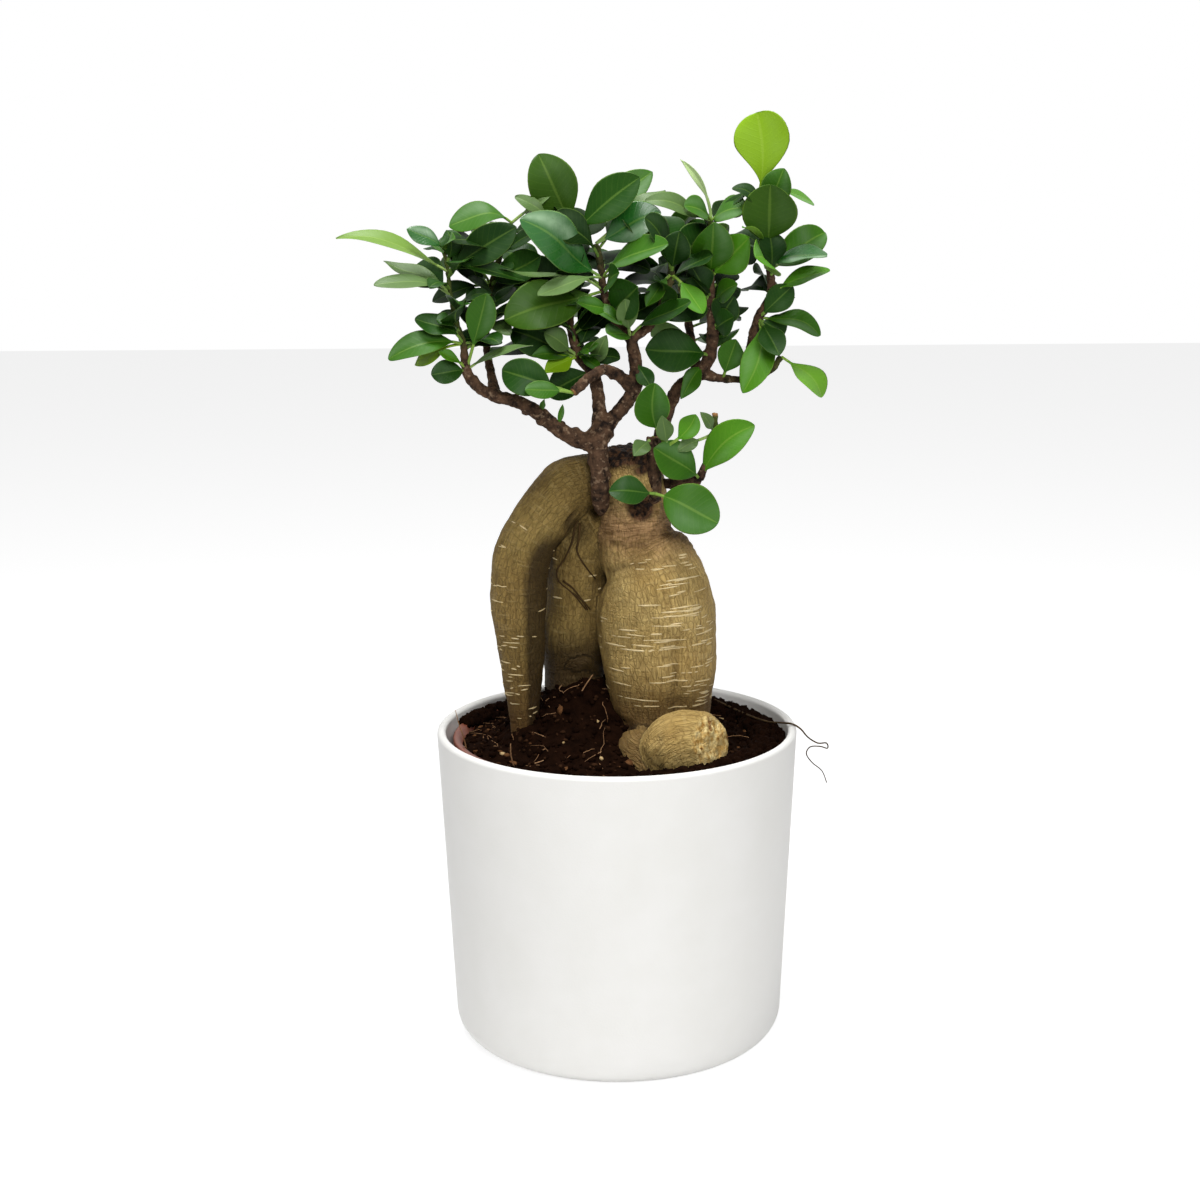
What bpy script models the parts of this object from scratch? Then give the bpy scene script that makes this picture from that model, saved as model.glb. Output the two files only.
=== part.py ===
"""Ginseng ficus bonsai in its pot.

A white glazed outer pot holds a brown nursery pot full of soil.  A swollen rootstock on three
legs stands in the soil, grafted stems grow from its neck, and single leaves grow from the stems.
The origin is the centre of the outer pot's underside, +Z is up, and -Y is the front.
"""
import math

import bmesh
import bpy
from mathutils import Vector

MM = 0.001
GAP = 0.3                       # clearance that separate pieces keep, in mm, as all lengths below

# Outer pot: a round, slightly tapered cachepot.
POT_HEIGHT = 128.0
POT_RIM_RADIUS = 72.5
POT_FOOT_RADIUS = 67.0
POT_FOOT_ROUNDING = 10.5
POT_WALL = 3.5
POT_FLOOR = 5.0
TURN_STEPS = 48

# Nursery pot, which stands a little left and back of centre inside the outer pot.
NURSERY_OFFSET = (-3.0, 3.0)
NURSERY_RIM_RADIUS = 63.5
NURSERY_FOOT_RADIUS = 47.0
NURSERY_WALL = 1.0
NURSERY_TOP = 124.0
NURSERY_LIP_WIDTH = 2.0
NURSERY_LIP_HEIGHT = 7.0
DRAIN_HOLES = 6
DRAIN_HOLE_RADIUS = 4.0
DRAIN_CIRCLE_RADIUS = 30.0

# Soil: mounded around the roots, a little below the nursery pot's lip at the edge.
# Each pair is a share of the soil's radius and the height above the edge there.
SOIL_EDGE = 120.5
SOIL_MOUND = [(0, 21), (0.2, 19.5), (0.4, 14.5), (0.6, 7.5), (0.8, 2.2), (0.96, 0.5)]

# Rootstock legs and bulb: rows of (x, y, z, radius) down each centre line.
ROOT_BULB = [
    (6, 2, 241, 8.5), (6.3, 2, 233, 12), (7.2, 1, 222, 13.3), (7.8, 0, 211, 14.2),
    (8, -0.5, 205, 14.3), (9, -1, 199.5, 17), (11.4, -2, 194, 20.3), (13.6, -3, 186.5, 22.9),
    (15.2, -3, 178, 24), (15.8, -3, 168, 24.3), (16.2, -4, 156, 24), (16.6, -4, 142, 21.8),
    (17.5, -4, 128, 18.5), (18, -4, 112, 13), (18, -4, 102, 7),
]
ROOT_LEFT_LEG = [
    (-2, 4, 231, 8), (-11, 3, 230, 9.2), (-19, 1.5, 225.5, 10.8), (-27.8, -1, 216, 11.2),
    (-35.3, -3, 204, 11.2), (-38.8, -4, 191, 11), (-39.1, -5, 177, 10.7), (-38.4, -5, 165, 9.2),
    (-38, -5, 153, 7.4), (-37.6, -6, 141, 6.1), (-37.6, -6, 130, 5.3), (-37.6, -6, 118, 4.6),
    (-37.6, -6, 106, 3),
]
ROOT_MIDDLE_LEG = [
    (-4, 5, 214, 10), (-11, 8, 208, 12), (-16, 10, 198, 13), (-17, 11, 184, 13),
    (-18, 11, 170, 12.5), (-18.5, 10.5, 158, 12), (-18.5, 10, 148, 11.8), (-18.5, 9, 136, 10.5),
    (-19, 9, 120, 8), (-19, 9, 106, 5),
]
ROOT_FOOT = [
    (9, -30, 104, 9), (10.5, -31, 113, 10.5), (14, -32.5, 121, 12.5), (20, -33.5, 127, 13.4),
    (27, -34, 129.5, 13.5), (33, -34.8, 130, 12.6), (37.5, -35.5, 130, 9.5), (40, -36, 130, 5),
]
ROOT_KNOT = [(-24, 2, 156, 4), (-20, -0.5, 155, 4.8), (-15, 0, 152, 4.5), (-12, 2, 146, 3)]
ROOT_LIMBS = [ROOT_BULB, ROOT_LEFT_LEG, ROOT_MIDDLE_LEG, ROOT_FOOT, ROOT_KNOT]
ROOT_VOXEL = 1.8
ROOT_DETAIL = 0.075             # share of the remeshed faces that is kept

# Stems: each is a list of runs of (x, y, z, radius); a run starts on a point of an earlier one.
FRONT_STEM = [
    [(-5, -11, 212, 3.2), (-6, -12, 222, 4), (-7, -11, 233, 4), (-7, -10, 244, 4.2)],
    # left limb, and the two shoots that rise from it
    [(-7, -10, 244, 4.2), (-15, -10, 246, 3.4), (-22, -11, 250, 3), (-29, -12, 256, 3),
     (-38, -12, 261, 2.8), (-46, -12, 263, 2.6), (-53, -12, 267, 2.4), (-57, -12, 273, 2.2),
     (-58, -11, 283, 1.6), (-61, -8, 292, 1.4), (-63, -5, 301, 1.3), (-64, -3, 310, 1.2),
     (-65, -2, 318, 1.1)],
    [(-46, -12, 263, 2.6), (-48, -2, 270, 1.8), (-50, 5, 280, 1.6), (-50, 8, 292, 1.5),
     (-48, 8, 304, 1.4), (-44, 7, 316, 1.3), (-39.5, 6, 328, 1.2)],
    # middle limb
    [(-7, -10, 244, 4.2), (-7, -8, 253, 3.4), (-7, -6, 262, 3), (-9, -4, 271, 3),
     (-14, -1, 277, 2.2), (-17, 2, 288, 1.8), (-17, 4, 300, 1.6), (-16, 5, 312, 1.5),
     (-15, 5, 324, 1.3)],
    # shoot behind
    [(-9, -4, 271, 3), (-14, 9, 281, 1.9), (-20, 21, 291, 1.6), (-24, 31, 303, 1.4),
     (-24, 37, 315, 1.2)],
    # pruned stub that points to the front
    [(8, -6, 262, 2.3), (1, -9, 267, 2.3), (-6, -13, 269.5, 2.1), (-12, -17, 268, 1.9),
     (-16, -20, 265, 1.8)],
    # right limb, forked above
    [(-7, -10, 244, 4.2), (-2, -8, 252, 3), (4, -7, 259, 2.8), (8, -6, 266, 2.8),
     (8, -5, 275, 2.6), (6, -3, 284, 2.2), (-1, 0, 293, 1.8), (-4, 1, 302, 1.6),
     (-5, 2, 311, 1.5), (-7, 3, 320, 1.3)],
    [(6, -3, 284, 2.2), (14, -2, 289, 1.8), (19, 0, 298, 1.5), (22, 1, 308, 1.4),
     (22, 2, 318, 1.2)],
]
RIGHT_STEM = [
    [(15, 10, 226, 3.2), (17, 13, 238, 3), (20, 15, 250, 2.8), (25, 17, 262, 2.6),
     (33, 18, 268, 2.6), (38, 18, 275, 2.6), (39, 18, 285, 2.4), (38, 17, 296, 2),
     (38, 16, 306, 1.6), (37, 14, 317, 1.4), (38, 12, 328, 1.2)],
    # pruned side stub
    [(39, 18, 285, 2.4), (46, 17, 293, 1.4)],
    # forked shoot behind
    [(33, 18, 268, 2.6), (31, 27, 279, 1.8), (29, 35, 291, 1.6), (24, 41, 303, 1.4),
     (22, 44, 315, 1.2)],
    [(29, 35, 291, 1.6), (36, 42, 299, 1.3), (41, 46, 309, 1.1)],
    # low right limb and its rising end
    [(33, 18, 268, 2.6), (43, 17, 266, 1.6), (53, 15, 266, 1.6), (61, 13, 269, 1.4),
     (66, 12, 275, 1.3)],
    [(53, 15, 266, 1.6), (54, 17, 279, 1.8), (57, 17, 290, 2), (62, 15, 299, 2),
     (61, 13, 309, 1.6), (60, 11, 319, 1.4), (58.5, 9, 329, 1.3), (56.3, 8, 338.5, 1.1)],
]
CUT_STEM = [
    [(15, -8, 222, 3), (15, -7, 234, 3), (15, -6, 246, 2.8)],
    [(15, -8, 222, 3), (15.5, -15, 225, 1.4)],
    [(15, -7, 234, 3), (20, -10, 243, 1.1)],
]
LOW_TWIG = [
    [(17, -1, 227, 2), (26, -4, 227, 2.2), (33, -5, 229, 2)],
    [(33, -5, 229, 2), (36, -5, 238, 1.2), (39, -5, 247, 1.1), (39, -5, 255, 1.2)],
]

STEMS = {
    "front_stem": FRONT_STEM, "right_stem": RIGHT_STEM, "cut_stem": CUT_STEM,
    "low_twig": LOW_TWIG,
}

# A hair-thin root that creeps over the soil and hangs over the outer pot's rim.
SURFACE_ROOT = [
    (24, 50, 122.6, 0.5), (32, 50, 124.4, 0.5), (40, 49, 125.3, 0.5), (46, 40, 125.2, 0.45),
    (51, 30, 125.2, 0.45), (57, 18, 125.6, 0.45), (62, 8, 126.6, 0.4), (66, 1, 128.2, 0.4),
    (70.5, -3, 128.8, 0.4), (74, -4, 127, 0.4), (77, -4, 123.5, 0.4), (81, -4, 121, 0.4),
    (84.5, -4, 121, 0.35), (85, -4, 118.8, 0.35), (82, -4, 119.6, 0.35),
    (78, -4, 119.4, 0.35), (76.5, -4, 116.5, 0.35), (79, -3, 112.5, 0.35),
    (83, -3, 109, 0.3), (85, -3, 104, 0.3),
]

# Leaves: a row is (tip x, y, z from the stem point, width, face x, y, z, bow).
# The face is the way the upper side looks, and the bow is how far the middle stands proud.
LEAF_THICKNESS = 0.5
PETIOLE_WIDTH = 0.9
LEAF_SHOOTS = [
    ("left_limb", (-58, -11, 283), [
        (-28, -8, -5, 10.5, 0, -1, 1, 5),
    ]),
    ("left_end", (-57, -12, 273), [
        (-13, -6, -1, 8, 0, -1, 0.4, 1), (9, -12, 30, 9.8, 0, -1, 0.2, -2),
        (26, -6, 10, 6, 0, -0.4, 1, 2),
    ]),
    ("left_shoot", (-63, -5, 301), [
        (-28, -12, 5, 8, 0, -0.6, 1, 4), (-26, 6, 13, 7, 0, -0.5, 1, 2),
    ]),
    ("left_crown", (-64, -3, 310), [
        (-42, -4, 13, 9, 0, -0.5, 1, 5), (27, -5, 17, 12, 0, -1, 0.3, 2),
    ]),
    ("left_peak", (-65, -2, 318), [
        (-14, -5, 8.5, 7, 0, -1, 0.7, 2),
    ]),
    ("back_left", (-48, 8, 304), [
        (-20, 14, 6, 15, 0, 0.3, 1, 3),
    ]),
    ("back_left_top", (-39.5, 6, 328), [
        (-24, -4, -1, 13, 0, -0.8, 1, 5),
    ]),
    ("middle", (-15, 5, 324), [
        (-14, 2, 30, 16, 0, -1, 0.2, 0), (25, -9, 21, 14.5, -0.3, -1, 0.5, 2),
        (30, 8, 23, 12, -0.2, -1, 0.6, 3),
    ]),
    ("behind", (-24, 31, 303), [
        (-24, 8, 3, 15, 0, 0.4, 1, 3), (4, 24, 4, 15, 0, 0.6, 1, 3),
    ]),
    ("behind_top", (-24, 37, 315), [
        (-12, 14, 14, 14, 0, 0.6, 1, 3),
    ]),
    ("heart_top", (-7, 3, 320), [
        (25, -3, 12, 13, 0, -1, 0.5, 2),
    ]),
    ("heart", (-4.5, 1.5, 307), [
        (-31, -16, 23, 18, 0.1, -1, 0.7, 2), (25, -18, 13.5, 14, 0, -0.8, 1, 3),
        (-24, -24, -5, 8, 0, -0.8, 1, 2),
    ]),
    ("heart_mid", (-4, 1, 302), [
        (-38, -13, -10, 17.5, 0.1, -1, 0.6, 2),
    ]),
    ("heart_low", (-1, 0, 293), [
        (10, -20, 12, 14, 0, -1, 0.3, 1),
    ]),
    ("stub", (-16, -20, 265), [
        (-27, 2, 8.5, 12, 0, -1, 0.2, 1), (-18, -6, 2, 6.5, 0, -1, 0.6, 1),
    ]),
    ("fork", (22, 1, 308), [
        (12, -12, -14, 8, 0, -0.8, 1, 2),
    ]),
    ("right_low", (38, 18, 275), [
        (-26, -14, 4, 15, 0, -1, 0.4, 2), (8, 22, 6, 14, 0.2, 0.7, 1, 3),
    ]),
    ("right_fork", (35.5, 18, 271.5), [
        (-9.5, -14, -12, 6.5, 0.3, -1, 0.3, 1),
    ]),
    ("right_mid", (38, 16, 306), [
        (0, -20, 22, 14, 0, -1, 0.3, 1), (14, -16, 16, 13, 0.2, -1, 0.4, 1),
    ]),
    ("right_top", (38, 12, 328), [
        (13, -8, 5, 13, -0.1, -0.8, 1, 2), (-26, -8, 8, 7, -0.2, -0.8, 1, 3),
        (-12, 4, 23.5, 3, -0.6, -1, 0.5, 2),
    ]),
    ("back", (24, 41, 303), [
        (-22, 12, 6, 15, 0, 0.6, 1, 3),
    ]),
    ("back_top", (22, 44, 315), [
        (-8, 16, 14, 13, 0, 0.6, 1, 3),
    ]),
    ("back_right", (41, 46, 309), [
        (18, 14, 3, 14, 0.2, 0.5, 1, 3),
    ]),
    ("right_end", (66, 12, 275), [
        (15, -10, -15, 13, 0.4, -0.6, 0.8, 3),
    ]),
    ("right_rise", (57, 17, 290), [
        (-7, -16, -28, 11, -0.2, -1, 0.4, 2), (24, -4, -7, 10, 0.1, -0.7, 1, 4),
    ]),
    ("right_shoulder", (61, 13, 309), [
        (-7, -22, 6, 14, 0, -1, 0.5, 1), (21, -14, 6, 12, 0.1, -0.6, 1, 3),
        (22, 6, 14, 12, 0, -1, 0.6, 1),
    ]),
    ("right_neck", (60, 11, 319), [
        (0, -10, 23, 18, 0, -1, 0.2, 2),
    ]),
    ("right_crown", (56.3, 8, 338.5), [
        (-1.3, 1, 30.5, 18.5, 0, -1, 0.1, 1), (21.7, 5, -4.5, 8, 0, -0.5, 1, 3),
    ]),
    ("bud", (15.5, -15, 225), [
        (24, -7, -10.5, 16.8, 0.1, -1, 0.4, 3), (-18, -6, 2, 9.8, 0, -1, 0.5, 2),
    ]),
    ("sprout", (20, -10, 243), [
        (-4.5, -5, 25, 11.5, -0.1, -1, 0.2, 1),
    ]),
    ("twig", (33, -5, 229), [
        (21, -6, 22, 12, -0.3, -1, 0.4, 2), (-18, -10, 14, 13, 0, -1, 0.5, 2),
    ]),
]
BLADE_CELLS = 7                 # cells along a leaf, the first of them the leaf stalk
STALK_SHARE = 0.14              # share of a leaf's length that is stalk
BLADE_FOLD = 0.16               # rise of the blade's edges, as a share of the half width


def new_collection(name, parent):
    collection = bpy.data.collections.new(name)
    parent.children.link(collection)
    return collection


def new_object(name, data, collection, material=None):
    obj = bpy.data.objects.new(name, data)
    collection.objects.link(obj)
    if material:
        data.materials.append(material)
    return obj


def make_material(name, color, roughness):
    material = bpy.data.materials.new(name)
    material.use_nodes = True
    shader = material.node_tree.nodes["Principled BSDF"]
    shader.inputs["Base Color"].default_value = (*color, 1.0)
    shader.inputs["Roughness"].default_value = roughness
    return material


def mm(*values):
    return Vector(values) * MM


def arc(center_r, center_z, radius, start, end, steps):
    """Points of a profile arc, as (r, z), with angles in degrees from +r towards +z."""
    angles = [math.radians(start + (end - start) * i / steps) for i in range(steps + 1)]
    return [(center_r + radius * math.cos(a), center_z + radius * math.sin(a)) for a in angles]


def turned(name, profile, collection, material, offset=(0.0, 0.0)):
    """A solid turned about Z from (r, z) points that run down its outer side."""
    mesh = bpy.data.meshes.new(name)
    points = [mm(r, 0, z) for r, z in profile]
    mesh.from_pydata(points, [(i, i + 1) for i in range(len(points) - 1)], [])
    obj = new_object(name, mesh, collection, material)
    obj.location = mm(offset[0], offset[1], 0)
    screw = obj.modifiers.new("Turn", "SCREW")
    screw.steps = TURN_STEPS
    screw.render_steps = TURN_STEPS
    screw.use_merge_vertices = True
    screw.merge_threshold = 0.00001
    screw.use_smooth_shade = True
    return obj


def cut(obj, cutter):
    boolean = obj.modifiers.new("Cut " + cutter.name, "BOOLEAN")
    boolean.operation = "DIFFERENCE"
    boolean.object = cutter


def hide_cutter(obj):
    obj.hide_render = True
    obj.display_type = "WIRE"
    return obj


def make_outer_pot(parts, material):
    inner_rim = POT_RIM_RADIUS - POT_WALL
    inner_foot = POT_FOOT_RADIUS - POT_WALL
    lip = POT_WALL / 2
    foot = POT_FOOT_ROUNDING
    profile = [(0, POT_FLOOR)]
    profile += arc(inner_foot - foot, POT_FLOOR + foot, foot, -90, 0, 4)
    profile += arc(inner_rim + lip, POT_HEIGHT - lip, lip, 180, 0, 6)
    profile += arc(POT_FOOT_RADIUS - foot, foot, foot, 0, -90, 5)
    profile += [(0, 0)]
    return turned("outer_pot", profile, parts, material)


def nursery_radius(z):
    """Outer radius of the nursery pot's wall at height z."""
    foot = POT_FLOOR + GAP
    share = (z - foot) / (NURSERY_TOP - foot)
    wall_rim = NURSERY_RIM_RADIUS - NURSERY_LIP_WIDTH
    return NURSERY_FOOT_RADIUS + (wall_rim - NURSERY_FOOT_RADIUS) * share


def make_nursery_pot(parts, cutters, material):
    foot = POT_FLOOR + GAP
    floor_top = foot + NURSERY_WALL
    lip_foot = NURSERY_TOP - NURSERY_LIP_HEIGHT
    profile = [
        (0, floor_top),
        (nursery_radius(floor_top) - NURSERY_WALL, floor_top),
        (nursery_radius(NURSERY_TOP) - NURSERY_WALL, NURSERY_TOP),
        (NURSERY_RIM_RADIUS - 0.5, NURSERY_TOP),
        (NURSERY_RIM_RADIUS, NURSERY_TOP - 0.8),
        (NURSERY_RIM_RADIUS - 0.3, lip_foot),
        (nursery_radius(lip_foot), lip_foot),
        (nursery_radius(foot), foot),
        (0, foot),
    ]
    pot = turned("nursery_pot", profile, parts, material, NURSERY_OFFSET)
    for hole in range(DRAIN_HOLES):
        angle = 2 * math.pi * (hole + 0.3) / DRAIN_HOLES
        x = NURSERY_OFFSET[0] + DRAIN_CIRCLE_RADIUS * math.cos(angle)
        y = NURSERY_OFFSET[1] + DRAIN_CIRCLE_RADIUS * math.sin(angle)
        mesh = bpy.data.meshes.new(f"drain_hole_{hole + 1}")
        bm = bmesh.new()
        bmesh.ops.create_cone(bm, cap_ends=True, segments=12, radius1=DRAIN_HOLE_RADIUS * MM,
                              radius2=DRAIN_HOLE_RADIUS * MM, depth=6 * MM)
        bm.to_mesh(mesh)
        bm.free()
        cutter = hide_cutter(new_object(mesh.name, mesh, cutters))
        cutter.location = mm(x, y, foot)
        cut(pot, cutter)
    return pot


def make_soil(parts, clearance, material):
    bottom = POT_FLOOR + GAP + NURSERY_WALL + GAP
    inset = NURSERY_WALL + GAP
    radius = nursery_radius(SOIL_EDGE) - inset
    profile = [(share * radius, SOIL_EDGE + height) for share, height in SOIL_MOUND]
    profile += [
        (radius, SOIL_EDGE - 1.5), (nursery_radius(bottom) - inset, bottom), (0, bottom),
    ]
    soil = turned("soil", profile, parts, material, NURSERY_OFFSET)
    cut(soil, clearance)
    return soil


def tube_mesh(name, limbs, smoothness, steps, extra=0.0):
    """Closed round limbs, each along a centre line of (x, y, z, radius) rows."""
    bm = bmesh.new()
    for rows in limbs:
        data = bpy.data.curves.new(name, "CURVE")
        data.dimensions = "3D"
        data.bevel_depth = MM
        data.bevel_resolution = smoothness
        data.use_fill_caps = True
        data.resolution_u = steps
        spline = data.splines.new("BEZIER")
        spline.bezier_points.add(len(rows) - 1)
        for point, (x, y, z, radius) in zip(spline.bezier_points, rows):
            point.co = mm(x, y, z)
            point.radius = radius + extra
            point.handle_left_type = "AUTO"
            point.handle_right_type = "AUTO"
        limb = bpy.data.objects.new(name, data)
        bpy.context.scene.collection.objects.link(limb)
        evaluated = limb.evaluated_get(bpy.context.evaluated_depsgraph_get())
        bm.from_mesh(bpy.data.meshes.new_from_object(evaluated))
        bpy.data.objects.remove(limb)
    bmesh.ops.remove_doubles(bm, verts=bm.verts, dist=0.00001)
    mesh = bpy.data.meshes.new(name)
    bm.to_mesh(mesh)
    bm.free()
    mesh.shade_smooth()
    return mesh


def root_body(name, mesh, collection, material=None):
    """The rootstock's limbs grown together: voxels, smoothed, then thinned to fewer faces."""
    obj = new_object(name, mesh, collection, material)
    remesh = obj.modifiers.new("Grow together", "REMESH")
    remesh.mode = "VOXEL"
    remesh.voxel_size = ROOT_VOXEL * MM
    remesh.use_smooth_shade = True
    smooth = obj.modifiers.new("Smooth", "SMOOTH")
    smooth.factor = 0.5
    smooth.iterations = 4
    thin = obj.modifiers.new("Thin", "DECIMATE")
    thin.ratio = ROOT_DETAIL
    return obj


def make_rootstock(mesh, parts, cutters, material):
    """The rootstock, and a slightly larger copy that clears its place in the soil."""
    rootstock = root_body("rootstock", mesh, parts, material)
    clearance = hide_cutter(root_body("rootstock_clearance", mesh, cutters))
    grow = clearance.modifiers.new("Clearance", "DISPLACE")
    grow.strength = (GAP + 0.1) * MM
    grow.mid_level = 0
    return rootstock, clearance


def make_stem(name, meshes, parts, helpers, material=None):
    """One grown stem: the tube of its first run, united with the tubes of its forks."""
    forks = new_collection(name + "_forks", helpers)
    for mesh in meshes[1:]:
        hide_cutter(new_object(mesh.name, mesh, forks))
    stem = new_object(name, meshes[0], parts, material)
    union = stem.modifiers.new("Forks", "BOOLEAN")
    union.operation = "UNION"
    union.operand_type = "COLLECTION"
    union.collection = forks
    return stem


def in_a_stem(point, margin):
    """Whether a point lies within a margin of any stem."""
    for run in [run for runs in STEMS.values() for run in runs]:
        for start, end in zip(run, run[1:]):
            origin = Vector(start[:3])
            axis = Vector(end[:3]) - origin
            along = (point - origin).dot(axis) / axis.length
            if not -margin < along < axis.length + margin:
                continue
            share = min(max(along / axis.length, 0), 1)
            radius = start[3] + (end[3] - start[3]) * share
            if (point - origin - axis * share).length < radius + margin:
                return True
    return False


def leaf_mesh(name, base, row):
    """A leaf that starts just off its stem, with a stalk and a blunt, bowed blade."""
    dx, dy, dz, width, face_x, face_y, face_z, bow = row
    tip = Vector(base) + Vector((dx, dy, dz))
    direction = Vector((dx, dy, dz)).normalized()
    start = Vector(base)
    while in_a_stem(start, GAP + PETIOLE_WIDTH / 2):
        start += direction * 0.1
    run = tip - start
    face = Vector((face_x, face_y, face_z))
    face = (face - direction * face.dot(direction)).normalized()
    side = direction.cross(face)
    bm = bmesh.new()
    bmesh.ops.create_grid(bm, x_segments=BLADE_CELLS, y_segments=2, size=1)
    for vert in bm.verts:
        station = round((vert.co.x + 1) / 2 * BLADE_CELLS)
        across = round(vert.co.y)
        share, half = 0.0, PETIOLE_WIDTH / 2
        if station > 0:
            turn = math.pi * (station - 1) / (BLADE_CELLS - 1)
            share = STALK_SHARE + (1 - STALK_SHARE) * ((1 - math.cos(turn)) / 2) ** 0.9
            half = max(half, width / 2 * math.sin(turn))
        lift = 4 * bow * share * (1 - share) + BLADE_FOLD * half * abs(across)
        vert.co = (start + run * share + face * lift + side * (half * across)) * MM
    mesh = bpy.data.meshes.new(name)
    bm.to_mesh(mesh)
    bm.free()
    mesh.shade_smooth()
    return mesh


def make_leaves(parts, material):
    for shoot, base, rows in LEAF_SHOOTS:
        for number, row in enumerate(rows, 1):
            name = f"leaf_{shoot}_{number}"
            leaf = new_object(name, leaf_mesh(name, base, row), parts, material)
            thickness = leaf.modifiers.new("Thickness", "SOLIDIFY")
            thickness.thickness = LEAF_THICKNESS * MM
            thickness.offset = 0


for old in list(bpy.data.objects):
    bpy.data.objects.remove(old)

scene_collection = bpy.context.scene.collection
part_collection = new_collection("ginseng_ficus_bonsai", scene_collection)
cutter_collection = new_collection("cutters", scene_collection)

glaze = make_material("white_glaze", (0.87, 0.86, 0.83), 0.3)
brown_plastic = make_material("brown_plastic", (0.30, 0.09, 0.045), 0.45)
peat = make_material("peat", (0.032, 0.016, 0.01), 0.95)
root_bark = make_material("root_bark", (0.22, 0.17, 0.09), 0.7)
twig_bark = make_material("twig_bark", (0.07, 0.04, 0.025), 0.85)
leaf_green = make_material("leaf_green", (0.03, 0.13, 0.02), 0.35)

root_mesh = tube_mesh("rootstock", ROOT_LIMBS, 3, 4)
stem_meshes = {}
socket_meshes = {}
for stem_name, stem_runs in STEMS.items():
    stem_meshes[stem_name] = [tube_mesh(stem_name, [run], 2, 1) for run in stem_runs]
    socket_meshes[stem_name] = [
        tube_mesh(stem_name + "_socket", [run], 2, 1, GAP) for run in stem_runs]
creeper = tube_mesh("surface_root", [SURFACE_ROOT], 1, 1)

make_outer_pot(part_collection, glaze)
make_nursery_pot(part_collection, cutter_collection, brown_plastic)
root, root_clearance = make_rootstock(root_mesh, part_collection, cutter_collection, root_bark)
make_soil(part_collection, root_clearance, peat)
new_object("surface_root", creeper, part_collection, twig_bark)
for stem_name in STEMS:
    make_stem(stem_name, stem_meshes[stem_name], part_collection, cutter_collection, twig_bark)
    cut(root, hide_cutter(make_stem(stem_name + "_socket", socket_meshes[stem_name],
                                    cutter_collection, cutter_collection)))
make_leaves(part_collection, leaf_green)
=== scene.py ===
import math
import random

import bmesh
import bpy
from mathutils import Matrix, Vector, noise
from mathutils.bvhtree import BVHTree
from mathutils.kdtree import KDTree


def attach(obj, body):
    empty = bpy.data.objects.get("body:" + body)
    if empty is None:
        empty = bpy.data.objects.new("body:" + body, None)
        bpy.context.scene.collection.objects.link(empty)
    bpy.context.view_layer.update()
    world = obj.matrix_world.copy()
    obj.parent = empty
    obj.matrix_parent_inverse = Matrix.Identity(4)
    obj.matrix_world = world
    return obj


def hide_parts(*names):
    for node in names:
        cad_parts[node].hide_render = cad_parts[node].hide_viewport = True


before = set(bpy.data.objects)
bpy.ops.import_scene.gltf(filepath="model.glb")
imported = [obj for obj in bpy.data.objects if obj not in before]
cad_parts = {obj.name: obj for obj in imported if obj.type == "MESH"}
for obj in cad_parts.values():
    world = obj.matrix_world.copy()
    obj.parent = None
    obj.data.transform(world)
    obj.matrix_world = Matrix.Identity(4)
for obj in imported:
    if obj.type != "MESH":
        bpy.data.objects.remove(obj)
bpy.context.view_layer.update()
view = bpy.context.scene.view_settings
view.view_transform = "Standard"


# Outer pot: a slip-cast white stoneware cachepot, a little wider at the rim than at the foot.
# It has a satin glaze all over, apart from the shallow recess and the ring that it stands on.
MM = 0.001
POT_HEIGHT, POT_RIM_RADIUS, POT_FOOT_RADIUS = 128.0, 72.5, 67.0
POT_WALL, POT_FLOOR, FOOT_ROUNDING = 3.5, 5.0, 10.5
FOOT_RING_WIDTH, FOOT_RECESS = 6.0, 1.0


def mm(*values):
    """A place given in millimetres, in Blender's metres."""
    return Vector(values) * MM


def tint(red, green, blue):
    """A colour as it looks on a screen, from 0 to 255, as the linear colour that sockets take."""
    shares = [value / 255 for value in (red, green, blue)]
    return [s / 12.92 if s <= 0.04045 else ((s + 0.055) / 1.055) ** 2.4 for s in shares] + [1.0]


def corner(r, z, radius, start, end, steps):
    """Points (r, z) of a rounded corner, with angles in degrees from outwards towards up."""
    angles = [math.radians(start + (end - start) * i / steps) for i in range(steps + 1)]
    return [(r + radius * math.cos(a), z + radius * math.sin(a)) for a in angles]


def thrown(outline, steps, middle=(0.0, 0.0)):
    """A closed body turned on the wheel from an outline of (r, z) points."""
    bm = bmesh.new()
    verts = [bm.verts.new(mm(r, 0, z)) for r, z in outline]
    edges = [bm.edges.new(pair) for pair in zip(verts, verts[1:])]
    bmesh.ops.spin(bm, geom=verts + edges, cent=(0, 0, 0), axis=(0, 0, 1),
                   angle=2 * math.pi, steps=steps, use_merge=True)
    bmesh.ops.remove_doubles(bm, verts=bm.verts, dist=1e-6)
    bm.verts.index_update()
    count = len(bm.verts)

    def rank(face):
        """A face's place in an order that is the same each run, which the spin's own is not."""
        first, second, third = sorted(vert.index for vert in face.verts)[:3]
        return (first * count + second) * count + third

    bm.faces.sort(key=rank)
    bmesh.ops.recalc_face_normals(bm, faces=bm.faces)
    bmesh.ops.translate(bm, verts=bm.verts, vec=mm(*middle, 0))
    return bm


def place(name, bm, material, slot, *nodes):
    """The finished piece, riding on the bonsai in place of the CAD nodes that it stands for."""
    mesh = bpy.data.meshes.new(name)
    bm.to_mesh(mesh)
    bm.free()
    mesh.materials.append(material)
    mesh.shade_smooth()
    piece = bpy.data.objects.new(name, mesh)
    bpy.context.scene.collection.objects.link(piece)
    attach(piece, "root")
    if nodes:
        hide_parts(*nodes)
    return piece


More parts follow.
